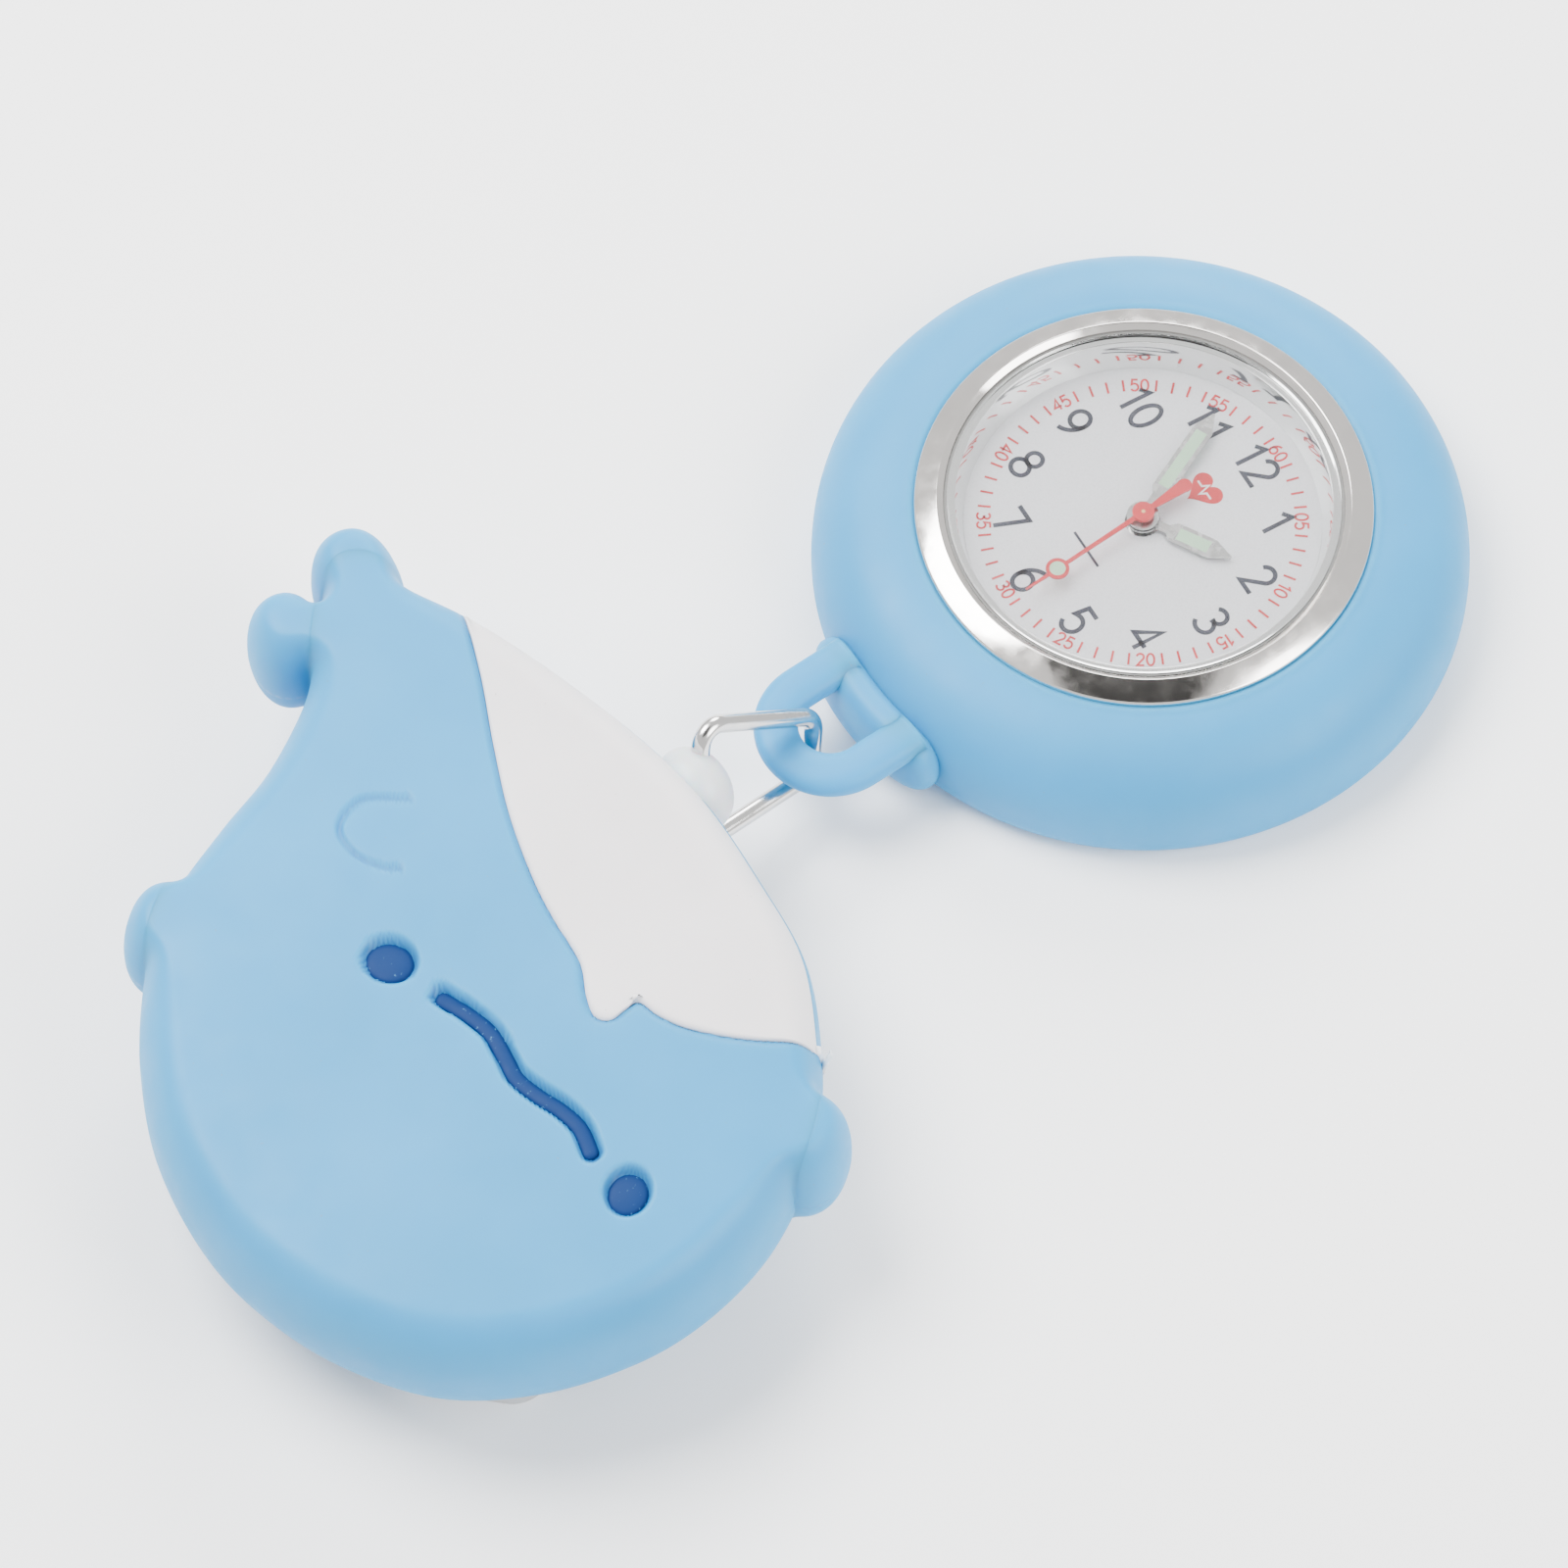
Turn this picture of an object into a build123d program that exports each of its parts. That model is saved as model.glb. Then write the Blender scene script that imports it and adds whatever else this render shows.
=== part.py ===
"""Retractable fob watch: a whale-shaped silicone cover over a sprung cord reel
with a swivel clip, and a quartz watch in a silicone cover, joined by a wire link.

Lengths are in millimetres.  The reel turns about the Z axis through the origin,
the clip lies on the plane z = 0, and the cord leaves along +X.
"""
from build123d import *
import math
import os

# ---------------------------------------------------------------- sizes ----
# reel
REEL_R = 15.0            # outer radius of the reel housing
REEL_BACK_Z = 5.3        # underside of the housing
REEL_FRONT_Z = 11.1      # top of the housing
SHELL_WALL = 1.0         # wall of both shells
CORD_D = 0.8             # cord diameter
CORD_LAY_R = 9.0         # radius at which the cord leaves the spool
CORD_WIND_R = 7.0        # radius of the spool barrel
SPOOL_FLANGE_R = 11.5
ARBOR_R = 1.5            # fixed post the spool turns on
RIVET_R = 1.2            # rivet through the swivel clip

# whale cover
WHALE_R = 19.8           # radius of the round body
WHALE_X, WHALE_Y = -1.3, 0.6
WHALE_BACK_Z = 4.6
WHALE_TOP_Z = 13.6
WHALE_ROUND = 3.6        # rounding of the top edge
PATCH_DEPTH = 1.4
EYE_W, EYE_H = 2.6, 2.2

# clip, lying along its own axis u
CLIP_ANGLE = -136.0      # direction of the tip, degrees from +X
CLIP_TIP = 17.3          # pivot of the swivel to the toothed tip
CLIP_TAIL = 10.5         # pivot of the swivel to the lever end
CLIP_W = 10.0
CLIP_SHEET = 0.8
CLIP_LEAF_Z = 3.4        # underside of the upper leaf
CLIP_PIN_U, CLIP_PIN_Z, CLIP_PIN_R = 4.2, 2.1, 0.5

# stopper and wire link
BEAD_X, BEAD_Z, BEAD_R = 19.8, 8.2, 3.1
WIRE_D = 1.15
LINK_BASE = 8.4          # centre line of the wire along the stopper bore
LINK_END = 3.9           # centre line of the wire at the loop end
LINK_FALL = 24.0         # slope of the link, degrees below +X
LINK_TILT = 24.0         # lean of the link about its own length, top toward +Y
LOOP_GAP = 0.15          # wire to silicone clearance at the loop

# watch
WATCH_GAP = 23.6         # centre of the watch to the centre of its loop
COVER_R = 20.2           # widest radius of the watch cover
COVER_TOP_Z = 8.1
LOOP_R, LOOP_TUBE_R = 3.1, 1.2
CASE_R = 14.0            # outer radius of the metal case
BEZEL_R = 12.2           # opening of the bezel
CASE_TOP_Z = 8.9
CASE_BACK_Z = 0.6
DIAL_Z = 6.0             # face of the dial
DIAL_R = 11.0            # visible radius of the dial
MODULE_TURN = -6.2       # direction of 12 o'clock, degrees from +X
HOUR_AT, MINUTE_AT, SECOND_AT = 57.5, 332.0, 173.0   # clockwise from 12
HOUR_LEN, MINUTE_LEN, SECOND_LEN = 6.0, 8.5, 9.0

# fits
RUN = 0.05               # radial running clearance of a shaft in its hole

# ------------------------------------------------------------- derived -----
CORD_Y = CORD_LAY_R
CORD_Z = (REEL_BACK_Z + REEL_FRONT_Z) / 2
FALL = math.radians(LINK_FALL)
LINK_LEN = 9.2           # base wire to end wire, centre lines
BAND_X = BEAD_X + (LINK_LEN - WIRE_D / 2 - LOOP_GAP - LOOP_TUBE_R) * math.cos(FALL)
BAND_Z = BEAD_Z - (LINK_LEN - WIRE_D / 2 - LOOP_GAP - LOOP_TUBE_R) * math.sin(FALL)
LOOP_X = BAND_X + LOOP_R
WATCH_X = LOOP_X + WATCH_GAP
WATCH_Y = CORD_Y

PARTS = {}


def put(name, shape):
    """Keep one finished node."""
    PARTS[name] = shape


# ------------------------------------------------------------- helpers -----
def disc(r, z0, z1, x=0.0, y=0.0):
    return Pos(x, y, z0) * Cylinder(r, z1 - z0, align=(Align.CENTER, Align.CENTER, Align.MIN))


def ring(r_out, r_in, z0, z1, x=0.0, y=0.0):
    return disc(r_out, z0, z1, x, y) - disc(r_in, z0 - 1, z1 + 1, x, y)


def slab(u0, u1, v0, v1, z0, z1):
    return Pos(u0, v0, z0) * Box(u1 - u0, v1 - v0, z1 - z0, align=(Align.MIN,) * 3)


def turned(profile):
    """Solid of revolution about Z from (radius, z) corners."""
    pts = [(r, 0, z) for r, z in profile]
    return revolve(make_face(Polyline(*pts, close=True)), Axis.Z)


def extruded(pts, z0, z1):
    """Prism over a closed polygon."""
    return Pos(0, 0, z0) * extrude(make_face(Polyline(*pts, close=True)), z1 - z0, dir=(0, 0, 1))


def rod_x(r, x0, x1, y, z):
    return Pos(x0, y, z) * Rot(0, 90, 0) * Cylinder(r, x1 - x0, align=(Align.CENTER, Align.CENTER, Align.MIN))


def rod_y(r, y0, y1, x, z):
    return Pos(x, y0, z) * Rot(-90, 0, 0) * Cylinder(r, y1 - y0, align=(Align.CENTER, Align.CENTER, Align.MIN))


def gear(teeth, module, z0, z1, bore=0.0, x=0.0, y=0.0, phase=0.0):
    """Toothed wheel; the teeth are slightly slim so meshing wheels run clear."""
    pitch_r = teeth * module / 2
    tip, root = pitch_r + 0.85 * module, pitch_r - 1.1 * module
    pts = []
    for i in range(teeth):
        a = 2 * math.pi * (i + phase) / teeth
        w = math.pi / teeth
        for r, k in ((root, -0.62), (pitch_r, -0.42), (tip, -0.16),
                     (tip, 0.16), (pitch_r, 0.42), (root, 0.62)):
            pts.append((r * math.cos(a + k * w), r * math.sin(a + k * w)))
    wheel = extruded(pts, z0, z1)
    if bore:
        wheel -= disc(bore, z0 - 1, z1 + 1)
    return Pos(x, y, 0) * wheel


def fuse(first, *rest):
    out = first
    for s in rest:
        out = out + s
    return out


# --------------------------------------------------------------- whale -----
def whale_outline():
    """Round body running up into a short tail, as one smooth closed line."""
    pts = [(WHALE_X + WHALE_R * math.cos(math.radians(a)),
            WHALE_Y + WHALE_R * math.sin(math.radians(a)))
           for a in (-15, -50, -90, -130, -170, 155, 128)]
    tail = [(-2.2, 23.3), (3.6, 27.4), (7.6, 30.2), (11.4, 29.6), (15.6, 22.8), (18.6, 12.2)]
    return make_face(Spline(*(pts + tail), periodic=True))


def whale_extras():
    """The two tail flukes and the two side fins, as ellipses."""
    def oval(x, y, a, b, turn):
        return Pos(x, y) * Rot(0, 0, turn) * Ellipse(a, b)
    return [oval(4.7, 30.4, 3.2, 2.0, 105), oval(10.6, 31.7, 3.4, 2.3, 72),
            oval(-11.8, 17.8, 3.1, 2.7, 32), oval(10.3, -14.7, 3.1, 2.7, 37)]


def build_whale():
    body = Pos(0, 0, WHALE_BACK_Z) * extrude(whale_outline(), WHALE_TOP_Z - WHALE_BACK_Z, dir=(0, 0, 1))
    body = fillet(body.edges().filter_by(lambda e: abs(e.center().Z - WHALE_TOP_Z) < 0.01), WHALE_ROUND)
    body = fillet(body.edges().filter_by(lambda e: abs(e.center().Z - WHALE_BACK_Z) < 0.01), 2.0)
    for flat in whale_extras():
        limb = Pos(0, 0, WHALE_BACK_Z + 1.2) * extrude(flat, 6.2, dir=(0, 0, 1))
        limb = fillet(limb.edges().filter_by(GeomType.ELLIPSE), 0.9)
        body += limb
    # pocket that holds the reel, with a lip behind it
    body -= disc(REEL_R, REEL_BACK_Z, REEL_FRONT_Z)
    body -= disc(REEL_R - 2.0, WHALE_BACK_Z - 1, REEL_FRONT_Z)
    # room for the stopper and for the link wire, roofed by the top of the cover
    roof_z = CORD_Z + BEAD_R + 0.3
    body -= disc(BEAD_R + 0.35, WHALE_BACK_Z - 1, roof_z, BEAD_X, CORD_Y)
    body -= rod_x(2.0, 8.0, BEAD_X, CORD_Y, CORD_Z)

    # white belly patch, let into the cover
    edge = Spline((15.4, 25.5), (10.1, 16.1), (6.9, 7.9), (5.6, 0.4), (6.6, -3.4), (9.2, -7.3), (15.0, -10.4))
    rim = Polyline((15.0, -10.4), (30, -10.4), (30, 30), (15.4, 25.5))
    region = Pos(0, 0, WHALE_TOP_Z - PATCH_DEPTH) * extrude(make_face(Curve() + [edge, rim]), 4, dir=(0, 0, 1))
    patch = body & region
    body -= region
    put("belly_patch", patch)

    # eyes and mouth: dark inlays at the bottom of shallow recesses
    eyes, mouth_z = [], WHALE_TOP_Z - 0.6
    for x, y, turn in ((-3.0, 7.8, 10), (-0.5, -12.4, 60)):
        spot = Pos(x, y, mouth_z - 0.8) * Rot(0, 0, turn) * extrude(Ellipse(EYE_W / 2, EYE_H / 2), 3, dir=(0, 0, 1))
        body -= spot
        eyes.append(spot & disc(40, mouth_z - 0.8, mouth_z))
    put("eye_inlays", Compound(children=eyes))
    line = Spline((-2.0, 4.2), (-1.0, 1.4), (-1.2, -2.2), (-0.5, -5.4), (-0.6, -9.1))
    groove = trace(line, 0.85)
    cut = Pos(0, 0, mouth_z - 0.8) * extrude(groove, 3, dir=(0, 0, 1))
    body -= cut
    put("mouth_inlay", cut & disc(40, mouth_z - 0.8, mouth_z))
    mark = trace(Spline((4.1, 15.9), (-0.3, 16.9), (1.0, 12.5)), 0.4)
    body -= Pos(0, 0, WHALE_TOP_Z - 0.35) * extrude(mark, 2, dir=(0, 0, 1))
    put("whale_cover", body)


# ---------------------------------------------------------------- reel -----
def build_reel():
    mid, wall = CORD_Z, SHELL_WALL
    exit_bore = rod_x(2.0, 8.0, 20.0, CORD_Y, mid)
    back = disc(REEL_R, REEL_BACK_Z, mid) - disc(REEL_R - wall, REEL_BACK_Z + wall, mid + 1)
    back += disc(5.0, CLIP_LEAF_Z + CLIP_SHEET + 0.3, REEL_BACK_Z)
    back += ring(3.4, ARBOR_R, REEL_BACK_Z + wall, REEL_BACK_Z + wall + 0.25)
    back -= disc(RIVET_R, 0, mid + 1)
    put("reel_back_shell", back - exit_bore)
    front = disc(REEL_R, mid, REEL_FRONT_Z) - disc(REEL_R - wall, mid - 1, REEL_FRONT_Z - wall)
    front += ring(3.4, ARBOR_R, REEL_FRONT_Z - wall - 0.25, REEL_FRONT_Z - wall)
    put("reel_front_shell", front - exit_bore)

    z_low, z_high = REEL_BACK_Z + wall, REEL_FRONT_Z - wall
    arbor = disc(ARBOR_R, z_low, z_high) - disc(RIVET_R, z_low - 1, z_low + 1.4)
    put("spring_arbor", arbor)
    rivet = disc(RIVET_R, CLIP_LEAF_Z - 0.4, z_low + 1.4)
    rivet += disc(2.1, CLIP_LEAF_Z - 0.5, CLIP_LEAF_Z - RUN)
    put("centre_rivet", rivet)

    # spout that leads the cord through the rim of the reel to the edge of the cover
    seat_x = BEAD_X - 2.35
    spout = rod_x(2.0, 10.2, seat_x, CORD_Y, mid) - rod_x(0.7, 9, 20, CORD_Y, mid)
    spout -= Pos(BEAD_X, CORD_Y, mid) * Sphere(BEAD_R)
    spout -= disc(SPOOL_FLANGE_R + 0.6, 0, 20)
    put("cord_spout", spout)

    # spool: barrel, two flanges, hub
    f0, f1 = z_low + 0.3, z_high - 0.3
    spool = ring(CORD_WIND_R, CORD_WIND_R - 0.8, f0, f1)
    spool += ring(SPOOL_FLANGE_R, ARBOR_R + RUN, f0, f0 + 0.4)
    spool += ring(SPOOL_FLANGE_R, CORD_WIND_R - 0.8, f1 - 0.4, f1)
    put("cord_spool", spool)
    w0, w1 = f0 + 0.4, f1 - 0.4
    put("wound_cord", ring(CORD_LAY_R + CORD_D / 2, CORD_WIND_R, w0, w1))
    put("spring_cover", ring(CORD_WIND_R - 0.85, ARBOR_R + RUN, f1 - 0.35, f1))

    # flat spiral power spring between the post and the barrel
    turns, steps, thick = 6.0, 30, 0.12
    r0, r1 = ARBOR_R + 0.03, CORD_WIND_R - 0.8
    inner, outer = [], []
    n = int(turns * steps)
    for i in range(n + 1):
        a = 2 * math.pi * i / steps
        r = r0 + (r1 - r0 - thick) * i / n
        inner.append((r * math.cos(a), r * math.sin(a)))
        outer.append(((r + thick) * math.cos(a), (r + thick) * math.sin(a)))
    put("power_spring", extruded(inner + outer[::-1], w0 + 0.1, w1 - 0.1))

    # cord from the spool to the stopper, and its knot
    put("cord_lead", rod_x(CORD_D / 2, 4.3, BEAD_X - 1.2, CORD_Y, mid))
    bead = Pos(BEAD_X, CORD_Y, mid) * Rot(90, 0, 0) * Sphere(BEAD_R)
    bead -= rod_x(CORD_D / 2, BEAD_X - 4, BEAD_X - 1.2, CORD_Y, mid)
    along = Pos(BEAD_X, CORD_Y, BEAD_Z) * Rot(0, LINK_FALL, 0) * Rot(-LINK_TILT, 0, 0)
    bead -= along * Cylinder(WIRE_D / 2 + RUN, 8)
    put("cord_stopper", bead)


# ---------------------------------------------------------------- clip -----
def build_clip():
    """Swivel clip: a leaf riveted to the reel and a sprung jaw that lies on z = 0."""
    place = Rot(0, 0, CLIP_ANGLE)
    t, hw, top = CLIP_SHEET, CLIP_W / 2, CLIP_LEAF_Z + CLIP_SHEET
    leaf = slab(-CLIP_TAIL, CLIP_TIP - 1.0, -hw, hw, CLIP_LEAF_Z, top)
    leaf = fillet(leaf.edges().filter_by(Axis.Z), 2.4)
    leaf += slab(CLIP_TIP - 2.6, CLIP_TIP - 1.2, -hw + 2.4, hw - 2.4, CLIP_LEAF_Z - 0.5, CLIP_LEAF_Z)
    for side in (-1, 1):
        ear = Pos(CLIP_PIN_U, side * (hw - t / 2), 0) * Box(4.4, t, 2.6, align=(Align.CENTER, Align.CENTER, Align.MIN))
        leaf += Pos(0, 0, CLIP_LEAF_Z - 2.5) * ear
    leaf -= rod_y(CLIP_PIN_R, -hw - 1, hw + 1, CLIP_PIN_U, CLIP_PIN_Z)
    leaf -= disc(RIVET_R + RUN, 0, 8)
    put("clip_leaf", place * leaf)
    put("clip_washer", ring(3.0, RIVET_R + RUN, top, top + 0.3 - 0.02))
    put("clip_pin", place * rod_y(CLIP_PIN_R, -hw - 0.3, hw + 0.3, CLIP_PIN_U, CLIP_PIN_Z))

    jaw = slab(-CLIP_TAIL, CLIP_TIP, -hw, hw, 0, t)
    jaw = fillet(jaw.edges().filter_by(Axis.Z), 2.4)
    inner = hw - t - 0.15
    for side in (-1, 1):
        ear = Pos(CLIP_PIN_U, side * (inner - t / 2), 0) * Box(3.2, t, CLIP_PIN_Z + 0.9, align=(Align.CENTER, Align.CENTER, Align.MIN))
        jaw += ear
    # bent-up toothed tip
    jaw += slab(CLIP_TIP - t, CLIP_TIP, -hw + 2.4, hw - 2.4, 0, CLIP_LEAF_Z + 0.55)
    for k in range(4):
        v = (k - 1.5) * 1.3
        jaw -= Pos(CLIP_TIP, v, CLIP_LEAF_Z + 0.75) * Rot(0, 90, 0) * Cylinder(0.45, 4)
    # the lower jaw clears the outer ears of the leaf
    for side in (-1, 1):
        jaw -= Pos(CLIP_PIN_U, side * (hw - t / 2 + 0.1), 0) * Box(5.0, t + 0.4, 4.0)
    jaw -= rod_y(CLIP_PIN_R + RUN, -hw - 1, hw + 1, CLIP_PIN_U, CLIP_PIN_Z)
    put("clip_jaw", place * jaw)

    # torsion spring round the pin, one leg on each leaf
    coil_w, wire, coil_r = 5.1, 0.2, 0.85
    turns = Helix(pitch=0.6, height=coil_w, radius=coil_r)
    coil = sweep(Plane(origin=turns @ 0, z_dir=turns % 0) * Circle(wire), path=turns, is_frenet=True)
    coil = Pos(CLIP_PIN_U, -coil_w / 2, CLIP_PIN_Z) * Rot(-90, 0, 0) * Rot(0, 0, 90) * coil
    spring = coil + rod_x(wire, CLIP_PIN_U - 5.5, CLIP_PIN_U, -coil_w / 2, CLIP_PIN_Z - coil_r)
    spring += rod_x(wire, CLIP_PIN_U - 5.5, CLIP_PIN_U, coil_w / 2, CLIP_PIN_Z + coil_r)
    put("clip_spring", place * spring)


# ---------------------------------------------------------------- link -----
def build_link():
    """Closed wire trapezium: its wide end runs through the stopper, its narrow end
    through the loop of the watch cover."""
    hb, he = LINK_BASE / 2, LINK_END / 2
    corners = [(0, hb), (LINK_LEN, he), (LINK_LEN, -he), (0, -hb)]
    flat = FilletPolyline(*[(x, y, 0) for x, y in corners], radius=1.1, close=True)
    start = flat @ 0
    wire = sweep(Plane(origin=start, z_dir=flat % 0) * Circle(WIRE_D / 2), path=flat)
    stand = Pos(BEAD_X, CORD_Y, BEAD_Z) * Rot(0, LINK_FALL, 0) * Rot(90 - LINK_TILT, 0, 0)
    put("wire_link", stand * wire)


# --------------------------------------------------------------- watch -----
def watch_place(shape):
    return Pos(WATCH_X, WATCH_Y, 0) * Rot(0, 0, MODULE_TURN) * shape


def build_watch_cover():
    section = make_face(Curve() + [
        Polyline((11.4, 0, 0), (18.6, 0, 0)),
        ThreePointArc((18.6, 0, 0), (COVER_R - 0.35, 0, 0.65), (COVER_R, 0, 2.0)),
        ThreePointArc((COVER_R, 0, 2.0), (COVER_R - 1.9, 0, 5.6), (CASE_R + 0.55, 0, COVER_TOP_Z)),
        Polyline((CASE_R + 0.55, 0, COVER_TOP_Z), (CASE_R, 0, COVER_TOP_Z - 0.3), (CASE_R, 0, CASE_BACK_Z),
                 (11.4, 0, CASE_BACK_Z), (11.4, 0, 0))])
    cover = Pos(WATCH_X, WATCH_Y, 0) * revolve(section, Axis.Z)
    # loop and the ridge it grows from
    ridge = Pos(WATCH_X - COVER_R - 0.2, WATCH_Y, 0.9) * Box(3.0, 11.0, 5.4, align=(Align.CENTER, Align.CENTER, Align.MIN))
    ridge = fillet(ridge.edges(), 1.3)
    leg_x = LOOP_X + 3.6
    route = Line((leg_x, WATCH_Y + LOOP_R, BAND_Z), (LOOP_X, WATCH_Y + LOOP_R, BAND_Z))
    route += ThreePointArc((LOOP_X, WATCH_Y + LOOP_R, BAND_Z), (LOOP_X - LOOP_R, WATCH_Y, BAND_Z),
                           (LOOP_X, WATCH_Y - LOOP_R, BAND_Z))
    route += Line((LOOP_X, WATCH_Y - LOOP_R, BAND_Z), (leg_x, WATCH_Y - LOOP_R, BAND_Z))
    loop = sweep(Plane(origin=(leg_x, WATCH_Y + LOOP_R, BAND_Z), z_dir=(-1, 0, 0)) * Circle(LOOP_TUBE_R), path=route)
    cover += loop
    cover += ridge - disc(CASE_R + 1.0, 0, 9, WATCH_X, WATCH_Y)
    # pocket for the crown at 3 o'clock
    pocket = Pos(0, -CASE_R - 1.6, 4.6) * Box(4.6, 4.4, 3.8)
    cover -= watch_place(pocket)
    put("watch_cover", cover)


def build_case():
    inner = 12.9
    case = turned([(inner, CASE_BACK_Z), (13.6, CASE_BACK_Z), (CASE_R, CASE_BACK_Z + 0.4), (CASE_R, CASE_TOP_Z - 0.6),
                   (BEZEL_R + 0.35, CASE_TOP_Z), (BEZEL_R, CASE_TOP_Z - 0.35), (BEZEL_R, 5.6), (inner, 5.6)])
    stem_bore = Pos(0, -10, 4.6) * Rot(90, 0, 0) * Cylinder(0.75, 8, align=(Align.CENTER, Align.CENTER, Align.MIN))
    case -= stem_bore
    put("watch_case", watch_place(case))
    put("crystal_gasket", watch_place(ring(BEZEL_R, BEZEL_R - 0.2, 7.5, CASE_TOP_Z - 0.45)))
    put("crystal", watch_place(disc(BEZEL_R - 0.2, 7.5, CASE_TOP_Z - 0.35)))
    put("reflector_ring", watch_place(ring(BEZEL_R, DIAL_R, DIAL_Z, 7.5)))
    put("dial", watch_place(ring(BEZEL_R, 1.1, DIAL_Z - 0.3, DIAL_Z)))
    put("crown_tube", watch_place(Pos(0, -12.9, 4.6) * Rot(90, 0, 0) * (
        Cylinder(0.75, 1.5, align=(Align.CENTER, Align.CENTER, Align.MIN)) -
        Cylinder(0.5, 1.5, align=(Align.CENTER, Align.CENTER, Align.MIN)))))
    back = disc(inner, CASE_BACK_Z, CASE_BACK_Z + 0.8) + ring(inner - 0.4, 12.0, CASE_BACK_Z + 0.8, CASE_BACK_Z + 1.6)
    back -= ring(11.0, 10.6, CASE_BACK_Z - 1, CASE_BACK_Z + 0.15)
    put("case_back", watch_place(back))
    put("case_back_gasket", watch_place(ring(inner, inner - 0.4, CASE_BACK_Z + 0.8, CASE_BACK_Z + 1.4)))


# movement: positions in the module, with 12 o'clock along +x
BATTERY_AT = (-5.75, 1.8)
THIRD_AT = (1.6, 2.77)
FIFTH_AT = (2.2, -1.9)
ROTOR_AT = (4.2, -3.6)
MINUTE_WHEEL_AT = (-0.6, -2.837)
PILLARS = ((7.4, -4.2), (-1.0, 8.4), (-6.2, -5.8))
PLATE_Z0, PLATE_Z1 = 4.1, 4.9
BRIDGE_Z0, BRIDGE_Z1 = 2.1, 2.6


def polar(at):
    return math.hypot(*at), math.degrees(math.atan2(at[1], at[0]))


def build_movement():
    bat_r = 2.9
    plate = disc(9.5, PLATE_Z0, PLATE_Z1)
    plate -= disc(0.8 + RUN, 0, 9)
    for x, y in (THIRD_AT, FIFTH_AT, ROTOR_AT):
        plate -= disc(0.12 + RUN, PLATE_Z0 - 1, PLATE_Z0 + 0.4, x, y)
    post = disc(0.3, PLATE_Z1, PLATE_Z1 + 0.72, *MINUTE_WHEEL_AT)
    put("main_plate", watch_place(plate + post))
    bridge = disc(9.5, BRIDGE_Z0, BRIDGE_Z1) - disc(bat_r + 0.25, 0, 9, *BATTERY_AT)
    bridge -= disc(0.12 + RUN, BRIDGE_Z0 - 1, BRIDGE_Z1 + 1)
    for x, y in (THIRD_AT, FIFTH_AT, ROTOR_AT):
        bridge -= disc(0.12 + RUN, BRIDGE_Z1 - 0.3, BRIDGE_Z1 + 1, x, y)
    bridge -= slab(5.6, 7.4, 1.0, 7.2, 0, 9) + slab(-2.4, 2.4, -8.6, -6.2, 0, 9)
    for x, y in PILLARS:
        bridge += disc(0.8, BRIDGE_Z1, PLATE_Z0, x, y)
        bridge -= disc(0.5, BRIDGE_Z0 - 1, PLATE_Z0 + 1, x, y)
    put("train_bridge", watch_place(bridge))
    screws = [disc(0.5, BRIDGE_Z0, PLATE_Z0, x, y) + disc(0.8, BRIDGE_Z0 - 0.35, BRIDGE_Z0, x, y)
              for x, y in PILLARS]
    put("bridge_screws", watch_place(Compound(children=screws)))
    put("movement_holder", watch_place(ring(12.0, 9.5, 2.25, DIAL_Z - 0.3) -
                                       Pos(0, -9, 4.6) * Rot(90, 0, 0) * Cylinder(0.9, 5, align=(Align.CENTER, Align.CENTER, Align.MIN))))
    put("battery", watch_place(fuse(disc(bat_r, 1.6, 3.9, *BATTERY_AT), disc(2.2, 3.9, 4.1, *BATTERY_AT))))
    strap = slab(BATTERY_AT[0] - 5.2, BATTERY_AT[0] + 4.2, BATTERY_AT[1] - 0.9, BATTERY_AT[1] + 0.9, 1.42, 1.6)
    strap &= disc(9.3, 0, 9)
    put("battery_strap", watch_place(strap))
    stator = slab(3.0, 5.4, -7.6, -2.0, 3.0, 3.35) - disc(1.15, 0, 9, *ROTOR_AT)
    stator += slab(-2.4, 5.4, -7.6, -7.2, 3.0, 3.35)
    put("stator", watch_place(stator))
    coil = Pos(-2.0, -6.9, 3.2) * Rot(0, 90, 0) * Cylinder(0.55, 4.0, align=(Align.CENTER, Align.CENTER, Align.MIN))
    coil -= slab(-9, 9, -7.8, -7.15, 2.9, 3.45)
    put("coil", watch_place(coil))
    put("circuit_board", watch_place(slab(5.3, 7.9, 0.4, 7.0, 3.65, 3.95) & disc(9.4, 0, 9)))
    can = Pos(6.6, 1.4, 3.05) * Rot(-90, 0, 0) * Cylinder(0.6, 4.6, align=(Align.CENTER, Align.CENTER, Align.MIN))
    put("quartz_can", watch_place(can))


def pivoted(wheel, pinion, z0, z1, at):
    """A wheel and its pinion on one arbor that runs in the plate and the bridge."""
    arbor = disc(0.12, z0, z1)
    return Pos(at[0], at[1], 0) * fuse(arbor, wheel, pinion)


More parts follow.
